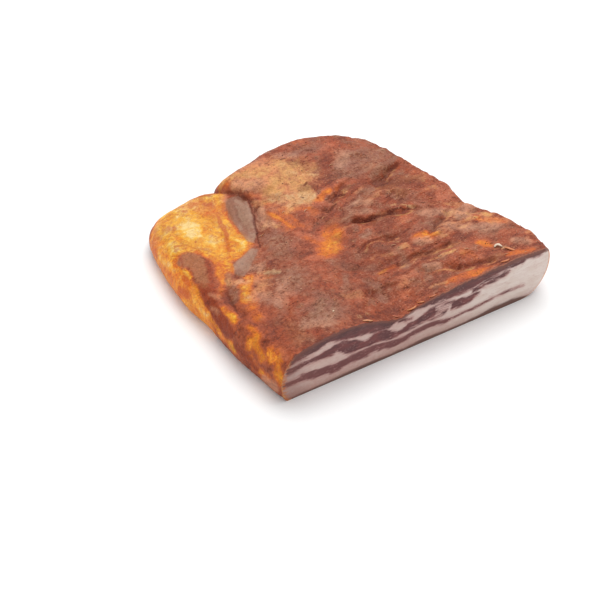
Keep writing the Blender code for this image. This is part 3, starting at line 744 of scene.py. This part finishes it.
def newMaterial(name):  # a material, its shader and a wire to start from
    material = bpy.data.materials.new(name)
    material.use_nodes = True
    shader = material.node_tree.nodes["Principled BSDF"]
    return material, shader, Wire(material.node_tree)


def finishMaterial(shader, wire, colour, roughness, height):
    normal = wire.node("ShaderNodeBump", None, {"Strength": 1.0, "Distance": mm, "Height": height})
    for name, value in {"Base Color": colour, "Roughness": roughness, "Normal": normal}.items():
        wire.tree.links.new(value.socket, shader.inputs[name])


rub = {
    # from thick rub over lean to thin rub over fat
    "heat": [
        (0.0, tone(100, 42, 28)), (0.18, tone(140, 68, 42)), (0.34, tone(180, 92, 56)),
        (0.48, tone(208, 102, 38)), (0.58, tone(228, 124, 30)), (0.7, tone(242, 154, 30)),
        (0.84, tone(252, 186, 56)), (0.94, tone(254, 208, 104)), (1.0, tone(255, 222, 144)),
    ],
    "salmon": tone(196, 106, 72),
    "peach": tone(228, 146, 96),
    "olive": tone(228, 166, 100),
    "fatPeach": tone(236, 150, 78),
    "litFlankFat": tone(232, 124, 44),
    "saltGlint": tone(212, 160, 134),
    "fatSaltGlint": tone(254, 214, 128),
    "cream": tone(216, 156, 102),
    "creamPale": tone(228, 182, 132),
    "dusted": tone(228, 168, 134),
    "damp": tone(112, 50, 32),
    "grey": tone(167, 121, 95),
    "mauve": tone(152, 100, 82),
    "red": tone(182, 84, 48),
    "skin": tone(172, 131, 106),
    "skinBrown": tone(150, 102, 80),
    "patch": tone(180, 112, 70),
    "patchRed": tone(156, 66, 28),
    "vein": tone(196, 96, 34),
    # painted shade in crevices, with darker stain
    "dark": tone(94, 34, 20),
    # painted shade in creases and hollows; it also darkens the fine dark specks
    "crease": tone(130, 70, 52),
    "tornEdgeAndShade": tone(112, 58, 50),
    "deep": (1.0, 0.82, 0.66, 1.0),  # dark rub is redder
    "shine": 0.22,
}


def rubMaterial():
    material, shader, wire = newMaterial("paprikaRub")
    gold, pale, orange, veins, warm = map(wire.painted, ("gold", "pale", "orange", "veins", "warm"))
    tan, cream, red, grey, brown = map(wire.painted, ("tan", "cream", "red", "grey", "brown"))
    dark, dusted, damp, skin, sink = map(wire.painted, ("dark", "dusted", "damp", "skin", "sink"))
    crest, lip, muscle, fromCut, drop = map(wire.painted, ("crest", "lip", "muscle", "fromCut", "underRub"))
    broad = wire.cloud(30, 1)
    mid = wire.cloud(11, 2, detail=3, rough=0.55, warp=0.5)
    small = wire.cloud(4.2, 3, detail=3, rough=0.6)
    strand = wire.cloud((13, 4.0, 4.0), 5, 7, detail=3, rough=0.6, warp=0.5)
    fine = wire.cloud(1.3, 4, rough=0.6)
    weave = small * (1 - muscle) + strand * muscle  # the finer pattern runs along the muscle on the right
    ragged = (mid - 0.5) * 1.7 + (weave - 0.5) * 1.2 + (fine - 0.5) * 0.3

    # thick or thin rub, then redder, duller and browner places
    fat = (gold + ragged * 0.35).rise(0.35, 0.65)
    heat = (gold * 0.76).most(pale * 0.96).most(orange * 0.36)
    heat = heat - heat.rise(0.2, 0.9) * 0.2 + 0.24 + (broad - 0.5) * 0.45 + ragged * (0.26 + 0.14 * fat)
    # the crests are warmed a little, a painted highlight
    heat = heat + crest * 0.03 + warm * 0.06 - brown * 0.06
    colour = wire.node("ShaderNodeValToRGB", {"stops": rub["heat"]}, {"Fac": heat})
    reddish = wire.cloud(13, 10, detail=3, rough=0.55, warp=0.4) + (weave - 0.5) * 0.4
    colour = (reddish.rise(0.5, 0.75) * 0.45 * (1 - fat)).mix(colour, rub["red"])
    dull = mid.rise(0.4, 0.6).mix(rub["grey"], rub["mauve"])
    dusty = wire.cloud(17, 8, detail=3, rough=0.6, warp=0.4) + (weave - 0.5) * 0.5
    dusty = dusty.rise(0.42, 0.75) * 0.65 * (1 - warm) * (1 - orange.rise(0.2, 0.7))
    colour = (dusty.most((grey + ragged * 1.0).rise(0.15, 1.1) * 0.9) * (1 - fat)).mix(colour, dull)
    colour = ((red + ragged * 0.6).rise(0.25, 0.9) * 0.75).mix(colour, rub["salmon"])
    patch = warm + drop.rise(1.0, 9.0) * 0.5 + mid - 0.5 + (small - 0.5) * 0.8
    patch = patch.rise(0.05, 0.95).mix(rub["patch"], rub["patchRed"])
    colour = ((brown + ragged * 0.45).rise(0.25, 0.75) * (0.82 - (small - 0.5) * 0.7)).mix(colour, patch)

    # paler places, where fat or dry rub shows; painted highlights on the crests and beside the folds, painted
    # light and shade in strokes, and painted light on the fat of the flanks
    peach = (broad * 0.5 + mid * 0.5).rise(0.42, 0.6).mix(rub["peach"], rub["olive"])
    peach = fat.mix(peach, rub["fatPeach"])
    stained = wire.cloud(9, 19, detail=3, rough=0.6, warp=0.6) + (small - 0.5) * 0.4
    tanned = (tan + ragged * 0.8).rise(0.1, 1.1) * tan.rise(0.0, 0.6)
    colour = (tanned * (0.95 - stained.rise(0.5, 0.72) * 0.55)).mix(colour, peach)
    pallor = (mid + (weave - 0.5) * 1.5).rise(0.4, 0.75).mix(rub["cream"], rub["creamPale"])
    colour = ((cream + ragged * 1.2).rise(0.2, 1.25) * cream.rise(0.0, 0.6) * 0.9).mix(colour, pallor)
    # painted highlight on the crests of the muscle and beside each fold
    lit = (crest * 0.45 + ragged * 0.9).rise(0.35, 1.2) * muscle * (1 - fat)
    colour = (lit * 0.45).most((lip + ragged * 1.3).rise(0.4, 1.2) * 0.7 * muscle).mix(colour, peach)
    # painted light and paler rub where its strokes lie
    colour = ((dusted + ragged * 0.4).rise(0.1, 1.2) * 0.46).mix(colour, rub["dusted"])
    # painted shade in the valleys and darker rub where its strokes lie
    colour = ((damp + ragged * 0.4).rise(0.1, 1.3) * 0.5).mix(colour, rub["damp"])
    # painted light: the fat on the flanks is made brighter and more orange than the light there gives
    litFlankFat = fat * drop.rise(0.2, 5.0)
    colour = (litFlankFat * 0.3).mix(colour, rub["litFlankFat"])

    # veins in the fat, smooth skin, and painted shade in the creases, hollows and crevices, with some darker
    # stain
    net = abs(wire.cloud(7, 7, detail=3, rough=0.65, warp=0.7) - 0.5)
    line = (1 - net.rise(0.0, 0.15)) * small.rise(0.3, 0.6) * fat * (1 - pale.rise(0.3, 1.0) * 0.6)
    line = (line * 0.75).most((veins + ragged * 0.9).rise(0.3, 1.0) * veins.rise(0.0, 0.3) * 0.85)
    colour = line.mix(colour, rub["vein"])
    cover = (skin + (fine - 0.5) * 0.35 + (small - 0.5) * 0.6 + (mid - 0.5) * 0.5).rise(0.1, 0.95)
    stretched = wire.cloud((13, 3.6, 3.6), 17, 73, detail=3) + (mid - 0.5) * 0.8 + (small - 0.5) * 0.9
    stretched = (stretched + brown * 0.9).rise(0.34, 0.7).mix(rub["skin"], rub["skinBrown"])
    colour = (cover * 0.84).mix(colour, stretched)
    creases = 1 - abs(wire.cloud((11, 7, 7), 9, 8, detail=3) - 0.5).rise(0.0, 0.03)
    creases = creases * wire.cloud(8, 15).rise(0.5, 0.65) * (1 - 0.8 * cover) * (1 - 0.6 * fat)
    # painted shade in the hollows of the folds and along the fine creases
    hollowShade = (sink * 0.22 - crest * 0.12 + ragged * 0.25).rise(0.12, 0.75)
    colour = (hollowShade * 0.4 * (1 - fat)).most(creases * 0.35).tint(colour, rub["crease"])
    # painted shade in crevices and valleys, with darker stain in the deepest
    shadow = (dark + ragged * 0.5).rise(0.3, 1.0)
    colour = (shadow * 0.8).mix(colour, rub["dark"])

    # grains of salt with painted glints, dark specks of spice, and the rub's torn edge at the cut, dark with
    # dried lean and painted shade
    # pale specks stand for salt grains and for painted glints
    grit = fine + (small - 0.5) * 0.6
    saltAndGlintShare = (0.12 + 0.12 * muscle + 0.04 * fat) * (1 - 0.7 * orange) * (1 - 0.5 * warm * (1 - fat))
    colour = (grit.rise(0.52, 0.74) * saltAndGlintShare).mix(colour, fat.mix(rub["saltGlint"], rub["fatSaltGlint"]))
    soot = (1 - (fine + (weave - 0.5) * 0.5).rise(0.28, 0.47)) * (1 - 0.6 * cover)
    colour = (soot * 0.24).tint(colour, fat.mix(rub["crease"], rub["vein"]))
    bright = colour.node("ShaderNodeRGBToBW", None, {"Color": colour}) - fat * 0.1
    colour = ((1 - bright.rise(0.08, 0.17)) * (1 - 0.6 * cover)).tint(colour, rub["deep"])
    # dark torn edge at the cut: dried lean, with painted shade along it
    jagged = fromCut + (wire.cloud(3.6, 18, detail=3, rough=0.6) - 0.5) * 9 + drop
    colour = ((1 - jagged.rise(0.2, 0.9)) * 0.85).mix(colour, rub["tornEdgeAndShade"])
    mottled = wire.cloud(2.6, 20, detail=3, rough=0.7, warp=0.5) - 0.5
    # the fat on the flanks is brightened here as painted light; the rest is mottled tone and salt specks
    light = 1.0 + 0.28 * litFlankFat + mottled * (0.9 - 0.3 * cover - 0.8 * fat) + (grit - 0.5) * 0.3 * (1 - fat)
    smooth = cover.most(fat * 0.55)
    rough = 0.56 - 0.14 * smooth + (small - 0.5) * 0.2 + shadow * 0.15
    height = ((weave - 0.5) * 1.5 + (fine - 0.5) * 0.35 - creases * 0.3) * (1 - 0.7 * smooth)
    shader.inputs["Specular IOR Level"].default_value = rub["shine"]
    finishMaterial(shader, wire, colour.scaled(light), rough, height)
    return material


cutTones = {
    "fat": tone(240, 222, 212, 0.79),
    "fatShade": tone(232, 210, 198, 0.79),
    "fatPink": tone(202, 154, 142, 0.77),
    "pink": tone(200, 142, 134, 0.77),
    "lean": tone(97, 40, 41, 0.82),
    "leanDark": tone(71, 28, 29, 0.82),
    "leanRed": tone(123, 54, 51, 0.82),
    "leanMauve": tone(123, 66, 63, 0.82),
    "leanBrown": tone(74, 30, 26, 0.82),
    "rind": tone(112, 72, 60, 0.82),
    "rimOrange": tone(226, 122, 46, 0.82),
    "rimGold": tone(250, 178, 92, 0.82),
    "rimBrown": tone(120, 62, 46, 0.82),
    "rimRub": tone(186, 106, 70, 0.82),
}


def cutMaterial():
    material, shader, wire = newMaterial("cutMeat")
    lean, rind, mauve, pink = map(wire.painted, ("lean", "rind", "mauve", "pink"))
    underRub, fromSide, fromLeft = map(wire.painted, ("underRub", "fromSide", "fromLeft"))
    streak = wire.cloud((9, 9, 1.8), 11, detail=3, rough=0.6)
    speck = wire.cloud(0.9, 12, rough=0.6)
    blot = wire.cloud((14, 14, 5), 13)
    clump = wire.cloud(2.4, 16, detail=3, rough=0.6)
    drifted = lean + ((streak - 0.5) * 5.4 + (speck - 0.5) * 2.0)
    inLean = drifted.rise(-1.1, 0.8)
    fat = blot.rise(0.35, 0.7).mix(cutTones["fat"], cutTones["fatShade"])
    fat = (pink * (0.8 + (clump - 0.5) * 0.8)).mix(fat, cutTones["fatPink"])
    fat = (drifted.rise(-2.6, -0.2) * 0.6).mix(fat, cutTones["pink"])
    hair = 1 - abs(wire.cloud((12, 12, 2.2), 14, detail=3) - 0.5).rise(0.0, 0.02)
    fat = (hair * 0.45).mix(fat, cutTones["pink"])
    meat = blot.rise(0.4, 0.65).mix(cutTones["lean"], cutTones["leanRed"])
    meat = (streak.rise(0.5, 0.75) * 0.6).mix(meat, cutTones["leanDark"])
    meat = (mauve * (0.75 + (clump - 0.5) * 1.2)).mix(meat, cutTones["leanMauve"])
    meat = (hair * 0.75 * wire.cloud(6, 15).rise(0.35, 0.6)).mix(meat, cutTones["pink"])
    meat = (streak.rise(0.4, 0.2) * 0.35).mix(meat, cutTones["leanMauve"])
    meat = ((1 - underRub.rise(3.0, 10.0)) * 0.5).mix(meat, cutTones["leanBrown"])
    colour = inLean.mix(fat, meat)
    colour = (rind + (speck - 0.5) * 0.8 + (streak - 0.5) * 2.0).rise(-1.6, 0.9).mix(colour, cutTones["rind"])

    # rub and rind that show round the edge of the cut
    rim = clump.rise(0.45, 0.65).mix(cutTones["rimOrange"], cutTones["rimGold"])
    colour = ((1 - (fromSide + (speck - 0.5) * 1.2).rise(0.3, 1.6)) * 0.7).mix(colour, rim)
    leftEnd = fromLeft + (clump - 0.5) * 8 + (streak - 0.5) * 14
    colour = ((1 - leftEnd.rise(0.8, 4.8)) * 0.9).mix(colour, rim)
    spill = underRub + (speck - 0.5) * 1.2 + (clump - 0.5) * 4
    colour = ((1 - fromLeft.rise(6.0, 30.0)) * 0.45).mix(colour, cutTones["rimBrown"])
    # dark band along the top of the cut: dried edge, with painted shade under the rub
    driedAndShadedTop = spill - fromLeft.rise(185.0, 200.0) * 2.5
    colour = ((1 - driedAndShadedTop.rise(1.0, 3.0)) * 0.85).mix(colour, cutTones["rimBrown"])
    colour = ((1 - spill.rise(0.6, 1.8)) * fromLeft.rise(118.0, 150.0) * 0.85).mix(colour, cutTones["rimRub"])
    rough = 0.42 + 0.1 * inLean + (speck - 0.5) * 0.12
    height = (speck - 0.5) * 0.12 + (streak - 0.5) * 0.25
    finishMaterial(shader, wire, colour, rough, height)
    return material


rindTones = {
    "tan": tone(176, 122, 84),
    "brown": tone(126, 78, 54),
    "dark": tone(84, 50, 36),
    "orange": tone(196, 116, 62),
}


def rindMaterial():
    material, shader, wire = newMaterial("rindSkin")
    broad = wire.cloud(34, 51, detail=3)
    mid = wire.cloud(9, 52, detail=3, rough=0.6)
    fine = wire.cloud(1.2, 53)
    creases = 1 - abs(wire.cloud((26, 9, 9), 55, 20, detail=4) - 0.5).rise(0.0, 0.03)
    colour = broad.rise(0.35, 0.65).mix(rindTones["tan"], rindTones["brown"])
    colour = (mid.rise(0.52, 0.7) * 0.6).mix(colour, rindTones["orange"])
    pores = 1 - wire.cells(3.4, 54).rise(0.1, 0.2)
    colour = (pores * 0.6).mix(colour, rindTones["dark"])
    colour = (creases * 0.5).mix(colour, rindTones["dark"])
    rough = 0.5 + (mid - 0.5) * 0.2
    height = (mid - 0.5) * 0.5 + (fine - 0.5) * 0.15 - pores * 0.25 - creases * 0.25
    finishMaterial(shader, wire, colour, rough, height)
    return material


slabPiece = buildSlab()
for made in (rubMaterial(), cutMaterial(), rindMaterial()):
    slabPiece.data.materials.append(made)
print("slab:", len(slabPiece.data.vertices), "points")


# Spice grains and torn fibres that cling to the rub

crumbTones = [
    (0.0, tone(84, 42, 28)), (0.28, tone(120, 62, 44)), (0.45, tone(186, 92, 54)), (0.62, tone(218, 126, 66)),
    (0.8, tone(222, 164, 122)), (1.0, tone(246, 222, 196)),
]


def crumbMaterial(name, roughness):
    material, shader, wire = newMaterial(name)
    shade = wire.painted("shade") + (wire.cloud(1.1, 61, detail=1) - 0.5) * 0.25
    colour = wire.node("ShaderNodeValToRGB", {"stops": crumbTones}, {"Fac": shade})
    wire.tree.links.new(colour.socket, shader.inputs["Base Color"])
    shader.inputs["Roughness"].default_value = roughness
    return material


# Density is per square metre, where the grit is thickest
spiceGrains = {
    "Density": 34000.0, "Seed": 3, "Smallest": 0.24 * mm, "Largest": 0.62 * mm, "Swing": math.pi,
    "Darkest": 0.0, "Palest": 0.82,
}
tornFibres = {
    "Density": 5200.0, "Seed": 8, "Smallest": 1.6 * mm, "Largest": 4.6 * mm, "Swing": 0.55,
    "Darkest": 0.3, "Palest": 0.85,
}
grainHeight = (0.78, 0.62, 0.2)  # its width and height against its length, and how high its middle lies
fibreSize = (0.17, 0.11, 6, 4)  # width and thickness against its length, places along it, sides
stripEnd = (0.25, 0.6)  # share of the width left at a strip's ends, and how bluntly it gets there


def plainPiece(name, points, faces):
    mesh = bpy.data.meshes.new(name)
    mesh.from_pydata(points, [], faces)
    mesh.shade_smooth()
    return newObject(name, mesh)


def grainShape():  # a low grain of 20 faces and radius 1, partly sunk in the rub
    golden = (1 + math.sqrt(5)) / 2
    flats = [(a, b) for a in (-1, 1) for b in (-golden, golden)]
    corners = [(a, b, 0) for a, b in flats] + [(0, a, b) for a, b in flats] + [(b, 0, a) for a, b in flats]
    faces = []
    for i in range(12):
        for j in range(i + 1, 12):
            for k in range(j + 1, 12):
                a, b, c = (Vector(corners[n]) for n in (i, j, k))
                if max((a - b).length, (b - c).length, (c - a).length) < 2.1:
                    outward = (b - a).cross(c - a).dot(a + b + c) > 0
                    faces.append((i, j, k) if outward else (i, k, j))
    reach = math.hypot(1, golden)
    wide, high, lift = grainHeight
    points = [(x / reach, y / reach * wide, z / reach * high + lift) for x, y, z in corners]
    return plainPiece("grainShape", points, faces)


def stripShell(places, width, thickness, sides):  # points and faces of a closed strip whose ends taper
    points, faces = [], []
    count = len(places)
    left, blunt = stripEnd
    for k, place in enumerate(places):
        ahead = (places[min(k + 1, count - 1)] - places[max(k - 1, 0)]).normalized()
        across = Vector((0, 0, 1)).cross(ahead).normalized()
        upward = ahead.cross(across)
        taper = left + (1 - left) * math.sin(math.pi * (k + 0.5) / count) ** blunt
        for n in range(sides):
            turn = math.tau * n / sides
            points.append(place + across * (math.cos(turn) * width / 2 * taper)
                          + upward * (math.sin(turn) * thickness / 2 * taper))
    for k in range(count - 1):
        for n in range(sides):
            m = (n + 1) % sides
            faces.append((k * sides + n, k * sides + m, (k + 1) * sides + m, (k + 1) * sides + n))
    faces.append(tuple(reversed(range(sides))))
    faces.append(tuple(range((count - 1) * sides, count * sides)))
    return points, faces


def fibreShape():  # a bent shred of length 1
    width, thickness, count, sides = fibreSize
    places = []
    for t in np.linspace(0, 1, count):
        places.append(Vector((t - 0.5, 0.09 * math.sin(5 * t), 0.04 + 0.1 * math.sin(math.pi * t))))
    return plainPiece("fibreShape", *stripShell(places, width, thickness, sides))


def scatterTree():  # lays copies of a piece over the rub, thickest where the grit is
    tree = bpy.data.node_groups.new("scatterOnRub", "GeometryNodeTree")
    sockets = {}
    for name, kind in {
        "Geometry": "Geometry", "Piece": "Object", "Density": "Float", "Seed": "Int", "Smallest": "Float",
        "Largest": "Float", "Swing": "Float", "Darkest": "Float", "Palest": "Float", "Material": "Material",
    }.items():
        made = tree.interface.new_socket(name, in_out="INPUT", socket_type="NodeSocket" + kind)
        sockets[name] = made.identifier
    tree.interface.new_socket("Geometry", in_out="OUTPUT", socket_type="NodeSocketGeometry")
    given = {s.name: Wire(tree, s) for s in tree.nodes.new("NodeGroupInput").outputs if s.name}
    wire = Wire(tree)

    def between(low, high, seed):  # a random number for each copy
        limits = {2: low, 3: high, "Seed": seed}
        return wire.node("FunctionNodeRandomValue", {"data_type": "FLOAT"}, limits, 1)

    grit = wire.node("GeometryNodeInputNamedAttribute", {"data_type": "FLOAT"}, {"Name": "grit"})
    spread = wire.node("GeometryNodeDistributePointsOnFaces", None, {
        "Mesh": given["Geometry"], "Density": grit * given["Density"], "Seed": given["Seed"]})
    upright = wire.node("FunctionNodeAlignRotationToVector", {"axis": "Z"}, {
        "Vector": spread.other("Normal")})
    along = wire.node("FunctionNodeAlignRotationToVector", {"axis": "X", "pivot_axis": "Z"}, {
        "Rotation": upright, "Vector": (1.0, slab["fibreSlant"], 0.0)})
    swing = between(0.0 - given["Swing"], given["Swing"], 11)
    spin = wire.node("FunctionNodeAxisAngleToRotation", None, {"Axis": (0.0, 0.0, 1.0), "Angle": swing})
    turned = wire.node("FunctionNodeRotateRotation", {"rotation_space": "LOCAL"}, {
        "Rotation": along, "Rotate By": spin})
    size = between(given["Smallest"], given["Largest"], 12)
    piece = wire.node("GeometryNodeObjectInfo", None, {"Object": given["Piece"]}, "Geometry")
    copies = wire.node("GeometryNodeInstanceOnPoints", None, {
        "Points": spread, "Instance": piece, "Rotation": turned, "Scale": size})
    shaded = wire.node("GeometryNodeStoreNamedAttribute", {"data_type": "FLOAT", "domain": "INSTANCE"}, {
        "Geometry": copies, "Name": "shade", "Value": between(given["Darkest"], given["Palest"], 13)})
    plain = wire.node("GeometryNodeRealizeInstances", None, {"Geometry": shaded})
    done = wire.node("GeometryNodeSetMaterial", None, {"Geometry": plain, "Material": given["Material"]})
    tree.links.new(done.socket, tree.nodes.new("NodeGroupOutput").inputs["Geometry"])
    return tree, sockets


def scatterOver(name, piece, settings, material):  # a plain mesh of all the copies
    ground = newObject("ground", slabPiece.data)
    modifier = ground.modifiers.new("scatter", "NODES")
    modifier.node_group, sockets = rubScatter
    for key, value in {**settings, "Piece": piece, "Material": material}.items():
        modifier[sockets[key]] = value
    ready = ground.evaluated_get(bpy.context.evaluated_depsgraph_get())
    mesh = bpy.data.meshes.new_from_object(ready)
    mesh.name = name
    bpy.data.objects.remove(ground)
    bpy.data.objects.remove(piece)
    print(name + ":", len(mesh.polygons), "faces")
    return newObject(name, mesh)


rubScatter = scatterTree()
grainPiece = scatterOver("spice_grains", grainShape(), spiceGrains, crumbMaterial("spiceGrain", 0.5))
fibrePiece = scatterOver("torn_fibres", fibreShape(), tornFibres, crumbMaterial("tornFibre", 0.6))

tornStrips = {
    "step": 0.7,
    "sides": 6,
    "sunk": 0.25,
    "roughness": 0.45,
    # width, thickness, shade and the line as (x, y, lift over the rub)
    "strips": [
        (2.4, 1.3, 1.05, (207.6, 22.0, 0), (209.4, 22.8, 0.8), (211.4, 21.8, 1.3), (211.6, 20.0, 1.2),
         (212.8, 18.8, 0.2)),
        (2.6, 0.8, 0.62, (214, 17.4, 0), (215.4, 14.6, 0.4), (216.8, 12.0, 0.4), (218, 9.6, 0)),
        (2.2, 0.9, 0.72, (71, 3.6, 0), (74, 2.4, 0.6), (76.6, 1.8, 0.6), (79.0, 2.6, 0)),
        (1.5, 0.9, 0.92, (57.4, 23.0, 0), (58.2, 23.6, 0.3), (59.0, 24.2, 0)),
        (1.8, 0.7, 0.64, (111, 3.6, 0), (113.6, 1.8, 0.5), (116.6, 1.2, 0.4), (119, 2.0, 0)),
        (1.6, 0.7, 0.58, (121, 4.6, 0), (123, 2.4, 0.5), (126, 1.6, 0)),
        (1.6, 0.6, 0.52, (131, 3.4, 0), (133.6, 1.6, 0.4), (137.4, 1.8, 0)),
        (1.6, 0.6, 0.46, (99, 5.4, 0), (101.4, 3.0, 0.4), (104.6, 2.2, 0)),
        (1.8, 0.7, 0.58, (199, 3.4, 0), (203, 1.8, 0.4), (207, 2.4, 0)),
    ],
}


def buildStrips():
    ground = slabPiece.data
    surface = BVHTree.FromPolygons([p.co for p in ground.vertices], [p.vertices for p in ground.polygons])
    points, faces, shades = [], [], []
    for width, thickness, shade, *line in tornStrips["strips"]:
        line = np.array(line, float)
        runs = np.concatenate([[0], np.cumsum(np.hypot(*np.diff(line[:, :2], axis=0).T))])
        steps = np.linspace(0, runs[-1], max(5, round(runs[-1] / tornStrips["step"])))
        xs, ys, lifts = (smoothRun(runs, line[:, n])(steps) for n in range(3))
        places = []
        for x, y, lift in zip(xs, ys, lifts):
            above = Vector(((x - middle[0]) * mm, (y - middle[1]) * mm, 0.2))
            hit, facing, face, away = surface.ray_cast(above, Vector((0, 0, -1)))
            places.append(hit + facing * ((lift + thickness / 2 - tornStrips["sunk"]) * mm))
        some, shell = stripShell(places, width * mm, thickness * mm, tornStrips["sides"])
        faces += [tuple(len(points) + n for n in face) for face in shell]
        points += some
        shades += [shade] * len(some)
    made = plainPiece("torn_strips", points, faces)
    made.data.attributes.new("shade", "FLOAT", "POINT").data.foreach_set("value", shades)
    made.data.materials.append(crumbMaterial("tornFat", tornStrips["roughness"]))
    return made


stripPiece = buildStrips()
print("strips laid")


# Camera, floor and light

stage = {
    "floorSize": 6.0,
    "floor": {"Base Color": (0.9, 0.9, 0.9, 1.0), "Roughness": 0.9, "Specular IOR Level": 0.1},
    "world": {"Color": (1.0, 1.0, 1.0, 1.0), "Strength": 0.79},
    "camera": (-0.67931, -1.00315, 0.944),
    "lookAt": (-0.04431, -0.02555, 0.0),
    "lens": 114.504,
    "sensor": 36.0,
    "key": {"from": (0.75, 0.78, 2.0), "size": 2.0, "power": 43.0},
}


def aim(made, start, end):
    made.location = start
    made.rotation_euler = (Vector(end) - Vector(start)).to_track_quat("-Z", "Y").to_euler()


def buildStage():
    half = stage["floorSize"] / 2
    mesh = bpy.data.meshes.new("floor")
    corners = [(-half, -half, 0), (half, -half, 0), (half, half, 0), (-half, half, 0)]
    mesh.from_pydata(corners, [], [(0, 1, 2, 3)])
    material, shader, wire = newMaterial("paleFloor")
    for name, value in stage["floor"].items():
        shader.inputs[name].default_value = value
    mesh.materials.append(material)
    newObject("floor", mesh)

    lens = bpy.data.cameras.new("camera")
    lens.lens = stage["lens"]
    lens.sensor_width = stage["sensor"]
    bpy.context.scene.camera = newObject("camera", lens)
    aim(bpy.context.scene.camera, stage["camera"], stage["lookAt"])

    key = stage["key"]
    light = bpy.data.lights.new("key", "AREA")
    light.size = key["size"]
    light.energy = key["power"]
    aim(newObject("key", light), key["from"], (0, 0, 0))

    world = bpy.data.worlds.new("world")
    world.use_nodes = True
    for name, value in stage["world"].items():
        world.node_tree.nodes["Background"].inputs[name].default_value = value
    bpy.context.scene.world = world
    bpy.context.scene.view_settings.view_transform = "Standard"


buildStage()
print("stage set")

for made in (slabPiece, grainPiece, fibrePiece, stripPiece):
    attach(made, "root")
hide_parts("pancetta_slab")
